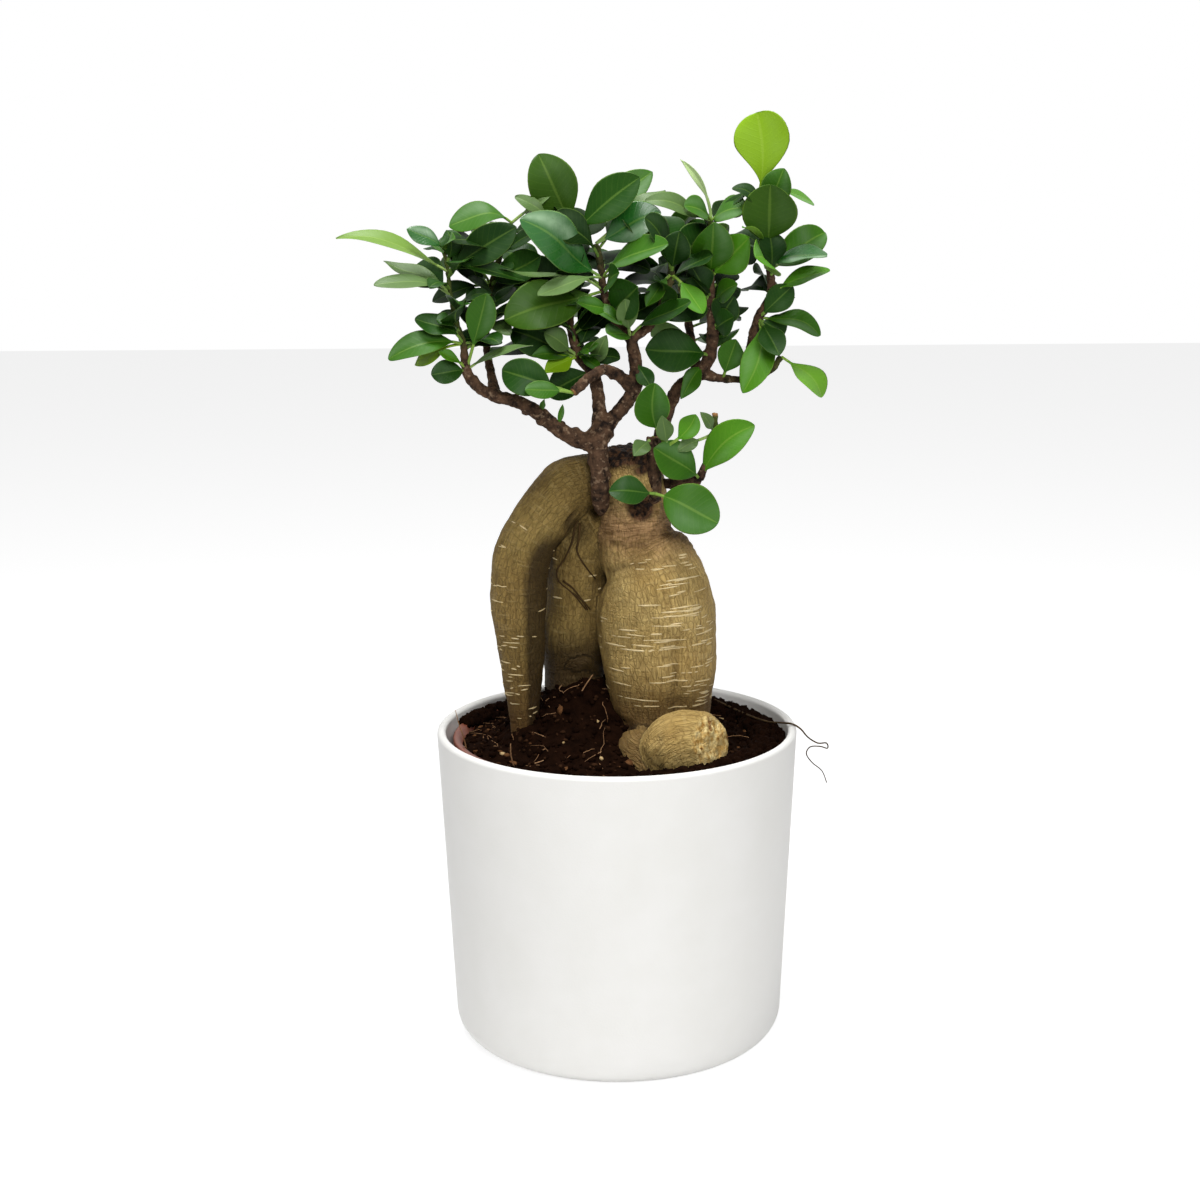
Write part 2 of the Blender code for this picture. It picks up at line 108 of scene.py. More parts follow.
def add_node(tree, kind, inputs=None, **settings):
    """A shader node with its settings, and its inputs linked or filled in."""
    made = tree.nodes.new("ShaderNode" + kind)
    for key, value in settings.items():
        setattr(made, key, value)
    for key, value in (inputs or {}).items():
        if isinstance(value, bpy.types.NodeSocket):
            tree.links.new(value, made.inputs[key])
        else:
            made.inputs[key].default_value = value
    return made


def blend(tree, factor, first, second):
    """The colour first where factor is 0, and second where it is 1."""
    return add_node(tree, "Mix", {0: factor, 6: first, 7: second}, data_type="RGBA").outputs[2]


def span(tree, value, low, high, to_low=0.0, to_high=1.0):
    """A value's range low to high, stretched to another range and held there."""
    return add_node(tree, "MapRange", {"Value": value, "From Min": low, "From Max": high,
                                       "To Min": to_low, "To Max": to_high}).outputs[0]


def new_group(name, takes, gives):
    """A node group with its named sockets; returns its tree and its input and output nodes."""
    tree = bpy.data.node_groups.new(name, "ShaderNodeTree")
    for label, kind, value in takes:
        socket = tree.interface.new_socket(label, in_out="INPUT", socket_type="NodeSocket" + kind)
        if value is not None:
            socket.default_value = value
    for label, kind in gives:
        tree.interface.new_socket(label, in_out="OUTPUT", socket_type="NodeSocket" + kind)
    return tree, tree.nodes.new("NodeGroupInput").outputs, tree.nodes.new("NodeGroupOutput")


def new_material(name, **shader_values):
    """A material's tree, its surface shader with plain values, and Object coordinates."""
    material = bpy.data.materials.new(name)
    material.use_nodes = True
    tree = material.node_tree
    shader = tree.nodes["Principled BSDF"]
    for key, value in shader_values.items():
        shader.inputs[key.replace("_", " ")].default_value = value
    return material, tree, shader, add_node(tree, "TexCoord").outputs["Object"]


def relief(tree, shader, height, distance):
    """Small bumps too fine for the mesh, distance metres high."""
    bump = add_node(tree, "Bump", {"Height": height, "Distance": distance})
    tree.links.new(bump.outputs[0], shader.inputs["Normal"])


def make_mottle_group():
    """Broad patches, fine grain and the two together, for every surface that isn't even."""
    tree, takes, gives = new_group(
        "mottle", [("Vector", "Vector", None), ("Patch Scale", "Float", 60.0),
                   ("Grain Scale", "Float", 800.0), ("Grain Share", "Float", 0.3)],
        [("Patches", "Float"), ("Grain", "Float"), ("Both", "Float")])
    patches = add_node(tree, "TexNoise", {
        "Vector": takes["Vector"], "Scale": takes["Patch Scale"], "Detail": 3.0}).outputs[0]
    grain = add_node(tree, "TexNoise", {
        "Vector": takes["Vector"], "Scale": takes["Grain Scale"], "Detail": 2.0}).outputs[0]
    patches = span(tree, patches, 0.3, 0.7)
    both = add_node(tree, "Mix", {0: takes["Grain Share"], 2: patches, 3: grain}).outputs[0]
    for name, value in (("Patches", patches), ("Grain", grain), ("Both", both)):
        tree.links.new(value, gives.inputs[name])
    return tree


def mottle(tree, where, patch_scale, grain_scale, grain_share=0.3):
    return add_node(tree, "Group", {
        "Vector": where, "Patch Scale": patch_scale, "Grain Scale": grain_scale,
        "Grain Share": grain_share}, node_tree=mottle_group).outputs


mottle_group = make_mottle_group()

glaze, tree, shader, where = new_material("satin_white_glaze", Roughness=0.42, IOR=1.5)
marks = mottle(tree, where, 45.0, 1400.0)
tree.links.new(blend(tree, marks["Patches"], tint(236, 235, 231), tint(240, 239, 236)),
               shader.inputs["Base Color"])
tree.links.new(span(tree, marks["Both"], 0.2, 0.8, 0.38, 0.46), shader.inputs["Roughness"])
relief(tree, shader, marks["Grain"], 0.00005)

half_wall = POT_WALL / 2
outline = [(0, POT_FLOOR)]
outline += corner(POT_FOOT_RADIUS - POT_WALL - FOOT_ROUNDING, POT_FLOOR + FOOT_ROUNDING,
                  FOOT_ROUNDING, -90, 0, 10)
outline += corner(POT_RIM_RADIUS - half_wall, POT_HEIGHT - half_wall, half_wall, 180, 0, 12)
outline += corner(POT_FOOT_RADIUS - FOOT_ROUNDING, FOOT_ROUNDING, FOOT_ROUNDING, 0, -90, 14)
ring_inside = POT_FOOT_RADIUS - FOOT_ROUNDING - FOOT_RING_WIDTH
outline += [(ring_inside, 0), (ring_inside - 1, FOOT_RECESS), (0, FOOT_RECESS)]
place("outer_pot_glazed", thrown(outline, 144), glaze, "white_glaze", "outer_pot")


# Nursery pot: the thin brown thermoformed pot that the plant was grown in, which stands loose in
# the outer pot, left and back of centre. Its rolled lip shows in the gap.
NURSERY_MIDDLE = (-3.0, 3.0)
NURSERY_RIM_RADIUS, NURSERY_FOOT_RADIUS, NURSERY_TOP = 63.5, 47.0, 124.0
NURSERY_FOOT, NURSERY_WALL, LIP_DEPTH, LIP_WIDTH = 5.3, 1.0, 7.0, 2.0
DRAIN_HOLES, DRAIN_HOLE_RADIUS, DRAIN_CIRCLE_RADIUS = 6, 4.0, 30.0

plastic, tree, shader, where = new_material("brown_nursery_plastic", Roughness=0.45)
marks = mottle(tree, where, 120.0, 900.0)
tree.links.new(blend(tree, marks["Both"], tint(98, 46, 28), tint(128, 66, 42)),
               shader.inputs["Base Color"])
relief(tree, shader, marks["Grain"], 0.0001)


def nursery_radius(z):
    """Outer radius of the nursery pot's wall at a height."""
    share = (z - NURSERY_FOOT) / (NURSERY_TOP - NURSERY_FOOT)
    return NURSERY_FOOT_RADIUS + (NURSERY_RIM_RADIUS - LIP_WIDTH - NURSERY_FOOT_RADIUS) * share


lip_foot = NURSERY_TOP - LIP_DEPTH
floor_top = NURSERY_FOOT + NURSERY_WALL
outline = [(0, floor_top), (nursery_radius(floor_top) - NURSERY_WALL - 1, floor_top),
           (nursery_radius(floor_top + 1) - NURSERY_WALL, floor_top + 1),
           (nursery_radius(NURSERY_TOP) - NURSERY_WALL, NURSERY_TOP - 0.6)]
outline += corner(NURSERY_RIM_RADIUS - 1, NURSERY_TOP - 1, 1, 110, 0, 5)
outline += [(NURSERY_RIM_RADIUS - 0.2, lip_foot + 0.3), (NURSERY_RIM_RADIUS - 0.5, lip_foot),
            (nursery_radius(lip_foot), lip_foot + 0.2), (nursery_radius(lip_foot - 1), lip_foot - 1),
            (nursery_radius(NURSERY_FOOT + 1), NURSERY_FOOT + 1),
            (nursery_radius(NURSERY_FOOT) - 1, NURSERY_FOOT), (0, NURSERY_FOOT)]
nursery = place("nursery_pot_brown", thrown(outline, 120, NURSERY_MIDDLE), plastic,
                "brown_plastic", "nursery_pot")
punches = bmesh.new()
for hole in range(DRAIN_HOLES):
    angle = 2 * math.pi * (hole + 0.3) / DRAIN_HOLES
    bmesh.ops.create_cone(
        punches, cap_ends=True, segments=24, radius1=DRAIN_HOLE_RADIUS * MM,
        radius2=DRAIN_HOLE_RADIUS * MM, depth=6 * MM,
        matrix=Matrix.Translation(mm(NURSERY_MIDDLE[0] + DRAIN_CIRCLE_RADIUS * math.cos(angle),
                                     NURSERY_MIDDLE[1] + DRAIN_CIRCLE_RADIUS * math.sin(angle),
                                     NURSERY_FOOT)))


def applied(obj):
    """The object's mesh with its modifiers made real."""
    ready = obj.evaluated_get(bpy.context.evaluated_depsgraph_get())
    mesh = bpy.data.meshes.new_from_object(ready)
    obj.modifiers.clear()
    old, obj.data = obj.data, mesh
    bpy.data.meshes.remove(old)
    return mesh


def loose_object(name, bm):
    """An object that is no piece of the bonsai: a body that shapes another, or the floor."""
    mesh = bpy.data.meshes.new(name)
    bm.to_mesh(mesh)
    bm.free()
    obj = bpy.data.objects.new(name, mesh)
    bpy.context.scene.collection.objects.link(obj)
    return obj


punch = loose_object("drain_punches", punches)
drill = nursery.modifiers.new("Drain holes", "BOOLEAN")
drill.operation = "DIFFERENCE"
drill.object = punch
applied(nursery)
bpy.data.objects.remove(punch)


# Soil: dark peat mounded up around the roots and crumbly on top, with chips of bark and perlite
# and the pale hairs of fine roots in it.
SOIL_EDGE, SOIL_BOTTOM = 120.5, 6.6
SOIL_MOUND = [(0, 21), (0.2, 19.5), (0.4, 14.5), (0.6, 7.5), (0.8, 2.2), (0.96, 0.5)]
# Where the soil is heaped up or hollowed: the middle, the height and the radius of each place.
SOIL_HEAPS = [((-18, 3), 9.0, 18), ((2, -24), -5.0, 11), ((11, -44), -3.5, 8)]
MOUND_RINGS = 46
CRUMBS, LIGHT_CRUMBS, BARK_CHIPS, PERLITE, ROOT_HAIRS = 950, 420, 42, 16, 190
SCATTER_EDGE = 0.97
HAIR_LENGTH, HAIR_RADIUS = (5, 17), (0.1, 0.24)


def lumps(spot, *layers):
    """The height of an uneven skin at a spot, from layers of (height, width) of their lumps."""
    return sum(height * noise.noise(spot / width) for height, width in layers)


def fade(distance, reach, power=2):
    """1 at a place, and less and less around it; a high power makes the fall steeper."""
    return math.exp(-(distance / reach) ** power)


def earth(name, dark, light, patch_scale=260.0, bump=0.0006):
    material, tree, shader, where = new_material(name, Roughness=0.95)
    shader.inputs["Specular IOR Level"].default_value = 0.02
    marks = mottle(tree, where, patch_scale, 1600.0, 0.45)
    tree.links.new(blend(tree, marks["Both"], tint(*dark), tint(*light)),
                   shader.inputs["Base Color"])
    relief(tree, shader, marks["Both"], bump)
    return material


def mound_height(share):
    """Height of the mound over its edge, at a share of the soil's radius."""
    points = SOIL_MOUND + [(1.0, -0.6)]
    for (low, high_z), (high, low_z) in zip(points, points[1:]):
        if share <= high:
            step = (share - low) / (high - low)
            return high_z + (low_z - high_z) * step * step * (3 - 2 * step)
    return points[-1][1]


soil_radius = nursery_radius(SOIL_EDGE) - NURSERY_WALL - 0.3
outline = [(soil_radius * ring / MOUND_RINGS, SOIL_EDGE + mound_height(ring / MOUND_RINGS))
           for ring in range(MOUND_RINGS + 1)]
outline += [(soil_radius, SOIL_EDGE - 2),
            (nursery_radius(SOIL_BOTTOM) - NURSERY_WALL - 0.3, SOIL_BOTTOM), (0, SOIL_BOTTOM)]
ground = thrown(outline, 200, NURSERY_MIDDLE)
for vert in ground.verts:
    spot = vert.co / MM
    if spot.z > SOIL_EDGE - 1.5:
        reach = (spot.xy - Vector(NURSERY_MIDDLE)).length / soil_radius
        calm = min(1.0, (1.0 - reach) * 8 + 0.15)
        crumble = lumps(spot, (1.5, 7), (0.9, 2.6)) + 0.5 * abs(noise.noise(spot / 1.3))
        heap = sum(height * fade((spot.xy - Vector(middle)).length, radius)
                   for middle, height, radius in SOIL_HEAPS)
        vert.co.z += (crumble * calm + heap) * MM
soil_surface = BVHTree.FromBMesh(ground)
peat = earth("dark_peat", (5, 2, 1), (32, 17, 9))
place("soil_mound", ground, peat, "peat", "soil")


def on_the_soil(rng, low, high):
    """A random point of the mound's surface between two shares of it, and the way out of it."""
    angle, reach = rng.uniform(0, 2 * math.pi), soil_radius * math.sqrt(rng.uniform(low, high))
    top = mm(NURSERY_MIDDLE[0] + reach * math.cos(angle),
             NURSERY_MIDDLE[1] + reach * math.sin(angle), 200)
    spot, normal, face, distance = soil_surface.ray_cast(top, Vector((0, 0, -1)))
    return spot, normal


def scatter(name, count, sizes, flatness, material, seed, low=0.0, sink=0.25):
    """Loose lumps on the soil, each a small uneven ball pressed to its own proportions."""
    rng = random.Random(seed)
    bm = bmesh.new()
    for lump in range(count):
        spot, normal = on_the_soil(rng, low, SCATTER_EDGE)
        size = rng.uniform(*sizes) * rng.uniform(0.6, 1.0)
        shape = [rng.uniform(0.7, 1.4), rng.uniform(0.5, 1.0), rng.uniform(*flatness), 0]
        turn = normal.to_track_quat("Z", "Y").to_matrix().to_4x4()
        turn = turn @ Matrix.Rotation(rng.uniform(0, 2 * math.pi), 4, "Z")
        turn = turn @ Matrix.Rotation(rng.uniform(-0.5, 0.5), 4, "X")
        made = bmesh.ops.create_icosphere(bm, subdivisions=1, radius=size * MM)["verts"]
        for vert in made:
            vert.co = Vector([c * s for c, s in zip(vert.co, shape)]) * rng.uniform(0.75, 1.25)
            vert.co = turn @ vert.co + spot + normal * size * MM * shape[2] * sink
    bmesh.ops.recalc_face_normals(bm, faces=bm.faces)
    return place(name, bm, material, "peat")


scatter("soil_crumbs", CRUMBS, (0.7, 2.0), (0.6, 1.0), peat, 11)
light_peat = earth("light_peat", (18, 10, 5), (70, 46, 30))
scatter("soil_light_crumbs", LIGHT_CRUMBS, (0.4, 1.3), (0.5, 1.0), light_peat, 12, sink=0.5)
bark_chip = earth("bark_chip_brown", (60, 36, 20), (120, 84, 54), 400.0, 0.0003)
scatter("soil_bark_chips", BARK_CHIPS, (1.0, 3.0), (0.2, 0.45), bark_chip, 5, 0.1)
perlite = earth("perlite_cream", (150, 122, 80), (206, 180, 134), 500.0, 0.0003)
scatter("soil_perlite", PERLITE, (0.7, 2.0), (0.4, 0.7), perlite, 23, 0.15)


# Spilled peat: on the right and at the back it lies over the nursery pot's lip and fills the gap
# beside it, up to the outer pot's wall.
SPILL_CRUMBS, SPILL_FROM, SPILL_TO = 2700, math.radians(-78), math.radians(166)
SPILL_LEVEL, SPILL_INSIDE, SPILL_OUTSIDE, POT_INSIDE = 124.3, 60.5, 63.0, 67.5
rng = random.Random(19)
bm = bmesh.new()
for lump in range(SPILL_CRUMBS):
    angle = rng.uniform(SPILL_FROM, SPILL_TO)
    end_fade = min(1, (SPILL_TO - angle) * 2.5, (angle - SPILL_FROM) * 2.5)
    reach = rng.uniform(SPILL_INSIDE - 4 * end_fade, SPILL_OUTSIDE + 10 * end_fade)
    spot = Vector(NURSERY_MIDDLE) + Vector((math.cos(angle), math.sin(angle))) * reach
    spot *= min(1.0, POT_INSIDE / spot.length)
    size = rng.uniform(0.8, 2.1)
    level = SPILL_LEVEL - 0.35 * max(0, reach - 64) - 0.8 * max(0, 61 - reach)
    level += rng.uniform(-1, 0.5)
    made = bmesh.ops.create_icosphere(bm, subdivisions=1, radius=size * MM)["verts"]
    turn = Matrix.Rotation(rng.uniform(0, 6.3), 4, "Z") @ Matrix.Rotation(rng.uniform(0, 3), 4, "X")
    for vert in made:
        vert.co = turn @ (vert.co * rng.uniform(0.7, 1.3))
        vert.co += mm(*spot, level)
bmesh.ops.recalc_face_normals(bm, faces=bm.faces)
place("soil_spill", bm, peat, "peat")


def sleeve(bm, stations, sides, spot_of):
    """A closed sleeve with that many cross-sections: spot_of(station, x, y) gives where each of
    its points lies, from the point's place on the unit circle round the middle line."""
    before = len(bm.verts)
    made = bmesh.ops.create_cone(bm, cap_ends=True, segments=sides, radius1=1, radius2=1, depth=1)
    edges = dict.fromkeys(edge for vert in made["verts"] for edge in vert.link_edges)
    rungs = [edge for edge in edges if abs(edge.verts[0].co.z - edge.verts[1].co.z) > 0.5]
    bmesh.ops.subdivide_edges(bm, edges=rungs, cuts=stations - 2)
    verts = list(bm.verts)[before:]
    for vert in verts:
        x, y, z = vert.co
        vert.co = spot_of(round((z + 0.5) * (stations - 1)), x, y) * MM
    return verts


def smooth_line(rows, steps):
    """A curve through all rows of numbers, as lists of the same length; steps points a stretch."""
    line = []
    for i in range(len(rows) - 1):
        a, b, c, d = (rows[max(i - 1, 0)], rows[i], rows[i + 1], rows[min(i + 2, len(rows) - 1)])
        for step in range(steps):
            t = step / steps
            line.append([0.5 * (2 * q + (r - p) * t + (2 * p - 5 * q + 4 * r - s) * t * t
                                + (3 * q - p - 3 * r + s) * t * t * t)
                         for p, q, r, s in zip(a, b, c, d)])
    return line + [list(rows[-1])]


FRONT = Vector((0, -1, 0))


def cross_ways(points, front):
    """For each point of a line: two ways across it, the first as near to front as can be."""
    ways = []
    for before, after in zip([points[0]] + points[:-1], points[1:] + [points[-1]]):
        along = (after - before).normalized()
        first = front - along * front.dot(along)
        first = first.normalized() if first.length > 0.05 else along.orthogonal().normalized()
        ways.append((first, along.cross(first), along))
    return ways


def strand(bm, rows, sides, steps):
    """A round root, stem or hair through rows of (x, y, z, radius)."""
    line = smooth_line(rows, steps) if steps > 1 else rows
    points = [Vector(row[:3]) for row in line]
    ways = cross_ways(points, FRONT)

    def spot_of(i, x, y):
        first, second, along = ways[i]
        return points[i] + (first * x + second * y) * line[i][3]

    return sleeve(bm, len(line), sides, spot_of)


def hair_rows(rng, spot, normal, length, radius):
    """A fine root that starts in the soil, wanders over it and ends up in the air or in it."""
    heading = Vector((rng.uniform(-1, 1), rng.uniform(-1, 1), 0)).normalized()
    point, rows = spot / MM - normal * 0.4, []
    for step in range(6):
        share = step / 5
        rise = normal * (rng.uniform(0.2, 1.0) * math.sin(math.pi * share) * length / 14)
        rows.append((*(point + rise), radius * (1.1 - 0.7 * share)))
        heading = (heading + Vector((rng.uniform(-.5, .5), rng.uniform(-.5, .5), 0))).normalized()
        slope = heading - normal * heading.dot(normal)
        point = point + slope.normalized() * length / 5
    return rows


pale_hair = earth("pale_root_hair", (120, 84, 56), (176, 140, 104), 300.0, 0.0001)
rng = random.Random(31)
bm = bmesh.new()
for hair in range(ROOT_HAIRS):
    spot, normal = on_the_soil(rng, 0.02, 0.9)
    rows = hair_rows(rng, spot, normal, rng.uniform(*HAIR_LENGTH), rng.uniform(*HAIR_RADIUS))
    strand(bm, rows, 4, 1)
# Three hairs stick up on the left, one of them in the gap at the outer pot's rim.
for rows in ([(-60, -14, 122, .3), (-61, -16, 128, .25), (-62.5, -17, 133, .2), (-64, -16, 139, .12)],
             [(-40, -36, 121, .35), (-41, -39, 127, .3), (-41, -40, 132, .2)],
             [(-16, -10, 140, .35), (-13, -9, 146, .3), (-9.5, -8, 151, .2)]):
    strand(bm, rows, 5, 3)
bmesh.ops.recalc_face_normals(bm, faces=bm.faces)
place("soil_root_hairs", bm, pale_hair, "thin_root")


# Rootstock: three swollen roots grown together at the neck, and the stump of a fourth that was
# sawn off. The bark is thin, grey to olive brown, with fine wrinkles and pale cork scratches.
BULB = [
    (6, 2, 241, 8.5), (6.3, 2, 233, 12), (7.2, 1, 222, 13.3), (7.8, 0, 211, 14.2),
    (8, -0.5, 205, 14.2), (10, -1, 199.5, 16.6), (13.2, -2, 194, 19), (15.4, -3, 186.5, 21.5),
    (16.1, -3, 178, 23.2), (16.6, -3, 168, 23.6), (17.2, -4, 156, 22.8), (17.1, -4, 143, 21.2),
    (17.6, -5.5, 131.5, 19.6), (17.5, -7, 120, 16.5), (18.5, -4, 102, 7),
]
LEFT_LEG = [
    (-2, 4, 229, 9), (-11, 3, 228, 10.4), (-19, 1.5, 224.6, 11.6), (-27.6, -1, 215.6, 11.4),
    (-35, -3, 203.5, 11.3), (-38.5, -4, 191, 11.3), (-38.8, -5, 177, 11.1), (-38.2, -5, 165, 9.9),
    (-37.7, -5, 153, 8.5), (-37.3, -6, 141, 6.9), (-37, -6, 130, 5.6), (-37, -6, 118, 4.8),
    (-37, -6, 106, 3),
]
MIDDLE_LEG = [
    (-4, 5, 213, 9), (-8.5, 8, 208.5, 10.2), (-13.8, 10, 200.5, 12.7), (-15.6, 11, 186, 13.2),
    (-16.2, 11, 174, 13.4), (-17.6, 10.5, 164, 13.6), (-17.2, 10, 154, 13), (-17, 9, 140, 12),
    (-17, 9, 120, 8), (-17, 9, 106, 5),
]
STUMP = [
    (17, -31, 116, 8), (18.6, -33, 122, 11), (21.5, -34.4, 127, 13.2),
    (26.5, -34.7, 129.5, 13.9), (33, -34.8, 130, 13.4), (37.3, -35.6, 130.2, 11.6),
    (40.2, -36.2, 130.4, 8.4), (41.9, -36.6, 130.6, 4.8), (42.6, -36.8, 130.6, 1.5),
]
STUMP_ROOT = [
    (21, -33, 102, 9), (18.6, -33.5, 112, 10), (16.2, -33, 118.5, 10.4), (13.4, -30, 122.5, 10.4),
    (10.6, -25, 124.5, 10.4), (10, -17, 125, 9),
]
KNUCKLE = [(-20, 2, 152, 4), (-17, 0.6, 154, 4.6), (-13, 0.8, 154, 4.4), (-9, 3, 150, 3)]
LIMBS = [BULB, LEFT_LEG, MIDDLE_LEG, STUMP, KNUCKLE, STUMP_ROOT]
LIMB_SIDES, LIMB_STEPS, BARK_VOXEL = 40, 5, 0.95
# Heights where the neck's rings and its red skin are strongest, and where the callus starts.
RING_HEIGHT, RED_HEIGHT, CALLUS_HEIGHT = 207, 211, 231
# Creases: the points of each, its half width, its depth and how dark the painted shade in it is.
CREASES = [
    ([(23.2, -27, 168), (23.6, -27, 160), (24.2, -26, 150), (24.8, -25, 141), (25, -23, 134)],
     1.2, 1.4, 0.6),
    ([(23.2, -27, 166), (23.6, -27, 158), (24.4, -26, 148), (25, -23, 135)], 4.4, 3.0, 0.1),
    ([(-1, -16, 135), (3.6, -21, 133.2), (11, -26, 133), (17.5, -27, 135.8), (23.8, -27, 140.3),
      (30, -26, 142.5), (36, -21, 143)], 1.5, 2.2, 1.0),
    ([(17, -44, 134), (16, -45, 128), (17, -45, 121), (19, -43, 114)], 1.9, 1.2, 0.35),
    ([(-30, 0, 201), (-27, -4, 206), (-22, -6, 211.4), (-15, -7, 214.9), (-8.5, -8, 217)],
     1.9, 2.8, 1.0),
    ([(-5.5, -8, 188), (-4.2, -10, 192), (2.3, -16, 196.5), (9.3, -19, 197.8), (17, -18.8, 197.8),
      (21.4, -17, 198.5)], 1.5, 1.1, 0.4),
    ([(-4, -9, 205.5), (3, -14, 204), (10, -15, 205), (18, -12, 204)], 1.1, 0.7, 0.35),
    ([(-5, -8, 193), (-6.5, -8, 186), (-7.8, -7, 176), (-7.3, -7, 164)], 2.0, 1.2, 0.8),
    ([(27, -46, 122), (29, -47, 127), (28, -46, 131)], 0.9, 1.5, 1.0),
    ([(34, -45, 122), (32, -46, 127), (35, -44, 131)], 0.9, 1.2, 1.0),
]
WOUND, WOUND_RADIUS, WOUND_DEPTH = Vector((10, -13, 219.5)), 5.7, 4.0
SAWN_FACE, SAWN_WAY, SAWN_RADIUS = Vector((36.3, -40.5, 131)), Vector((0.74, -0.64, 0.2)), 13
STEM_SEAT = [(-7, -10, 240), (-6, -9.5, 220)]
# Painted shade on the middle leg's top under the arch and beside the front stem's foot: the middle,
# the radius and the strength of each.
SHADE_SPOTS = [((-15.5, -4, 208.5), 7, 0.75), ((-11, -6, 227), 11, 0.3)]

body = bmesh.new()
for limb in LIMBS:
    strand(body, limb, LIMB_SIDES, LIMB_STEPS)
bmesh.ops.recalc_face_normals(body, faces=body.faces)
rough_body = loose_object("rootstock_limbs", body)
grow = rough_body.modifiers.new("Grow together", "REMESH")
grow.mode = "VOXEL"
grow.voxel_size = BARK_VOXEL * MM
ease = rough_body.modifiers.new("Ease", "SMOOTH")
ease.factor = 0.5
ease.iterations = 9
rootstock = bmesh.new()
rootstock.from_mesh(applied(rough_body))
bpy.data.objects.remove(rough_body)

# A point's place along its limb, as if the limb were pulled straight, steers the bark's grain.
samples, limb_trees = [], []
for number, limb in enumerate(LIMBS):
    line = smooth_line(limb, 8)
    points = [Vector(row[:3]) for row in line]
    tree_of_limb = KDTree(len(points))
    travelled = 0.0
    for i, (first, second, along) in enumerate(cross_ways(points, FRONT)):
        travelled += (points[i] - points[max(i - 1, 0)]).length
        tree_of_limb.insert(points[i], len(samples))
        samples.append((points[i], line[i][3], first, second, along, travelled, number))
    tree_of_limb.balance()
    limb_trees.append(tree_of_limb)


def held(value, low=0.0):
    """A value held between low and 1."""
    return min(1.0, max(low, value))


def distance_to(point, line):
    """How far a point is from a line of points."""
    best = 1e9
    for start, end in zip(line, line[1:]):
        start = Vector(start)
        run = Vector(end) - start
        share = min(max((point - start).dot(run) / run.length_squared, 0), 1)
        best = min(best, (point - start - run * share).length)
    return best


grain_layer = rootstock.verts.layers.float_vector.new("grain")
mark_layer = rootstock.verts.layers.float_vector.new("marks")
tone_and_shade_layer = rootstock.verts.layers.float_vector.new("tone_and_shade")
rootstock.normal_update()
moves = []
for vert in rootstock.verts:
    spot = vert.co / MM
    close = [samples[limb_tree.find(spot)[1]] for limb_tree in limb_trees]
    centre, radius, first, second, along, travelled, limb = min(
        close, key=lambda sample: (spot - sample[0]).length / sample[1])
    away = spot - centre
    vert[grain_layer] = (away.dot(first), away.dot(second),
                         travelled + away.dot(along) + 400 * limb)
    lift = lumps(spot, (0.75, 13), (0.35, 5), (0.12, 1.8))
    # painted shade in the creases, darkest along their bottoms
    crease_shade = 0.0
    for line, width, depth, painted_shade in CREASES:
        gap = distance_to(spot, line) / width
        if gap < 3:
            lift -= depth * math.exp(-gap * gap)
            crease_shade = max(crease_shade, painted_shade * math.exp(-gap * gap * 1.6))
    # the neck's skin lies in rings, which fade out down the shoulder
    if limb == 0:
        ring = fade(spot.z - RING_HEIGHT, 7)
        lift += 0.4 * ring * math.sin(2.4 * (spot.z + 3.2 * noise.noise(spot / 6)))
        lift += 0.4 * fade(spot.z - 214, 9) * noise.noise(spot / 2.2)
    wound = fade((spot - WOUND).length, WOUND_RADIUS, 4)
    lift -= WOUND_DEPTH * wound * (0.55 + 0.6 * noise.noise(spot / 2.2))
    lift += 1.4 * fade((spot - WOUND).length - 7, 1.8) * (spot.y < -6)
    # the saw left a flat, torn face on the stump's end
    past = (spot - SAWN_FACE).dot(SAWN_WAY.normalized()) + 0.8 * noise.noise(spot / 4)
    sawn = held(past + 0.6) * ((spot - SAWN_FACE).length < SAWN_RADIUS)
    lift += sawn * (0.9 * noise.noise(spot / 3) + 0.7 * abs(noise.noise(spot / 1.3)))
    # the callus on top of the neck is old, black and knobbly, and so is the grafted stem's seat
    callus = held((spot.z - CALLUS_HEIGHT + 4 * noise.noise(spot / 5)) / 6) * (limb == 0)
    seat = fade(distance_to(spot, STEM_SEAT), 5)
    crust = max(callus, 0.75 * seat)
    lift += crust * lumps(spot, (1.2, 3), (0.6, 1.4))
    vert[mark_layer] = (crease_shade, max(wound, callus, 0.55 * seat), sawn)
    # partly the bark's own paler tone and partly painted light: the bulb and the stump get the sunny
    # copy of the bark and the legs the shaded one, and the bulb darkens towards the bottom; the neck
    # is redder
    pale = (held((spot.z - 128) / 28, 0.25), 0.12, 0.18, 1.0, 0.0, 0.6)[limb]
    red = fade(spot.z - RED_HEIGHT, 11) if limb == 0 else 0.0
    # painted shade from the spots under the arch and beside the front stem
    painted_shade = max(strength * fade((spot - Vector(middle)).length, reach)
                for middle, reach, strength in SHADE_SPOTS)
    # painted shade on the inner side of the left leg, which faces the bulb, and on the foot of the
    # middle leg
    if limb == 1:
        inner = held((vert.normal.x - 0.05) / 0.38)
        painted_shade = max(painted_shade, 0.72 * inner * held((213 - spot.z) / 10))
    if limb in (2, 4):
        painted_shade = max(painted_shade, 0.8 * held((176 - spot.z) / 22))
    vert[tone_and_shade_layer] = (pale, red, painted_shade)
    trim = SAWN_WAY.normalized() * (-0.85 * max(0.0, past) * (sawn > 0))
    moves.append((vert, (vert.normal * lift + trim) * MM))
for vert, move in moves:
    vert.co += move
rootstock_skin = BVHTree.FromBMesh(rootstock)
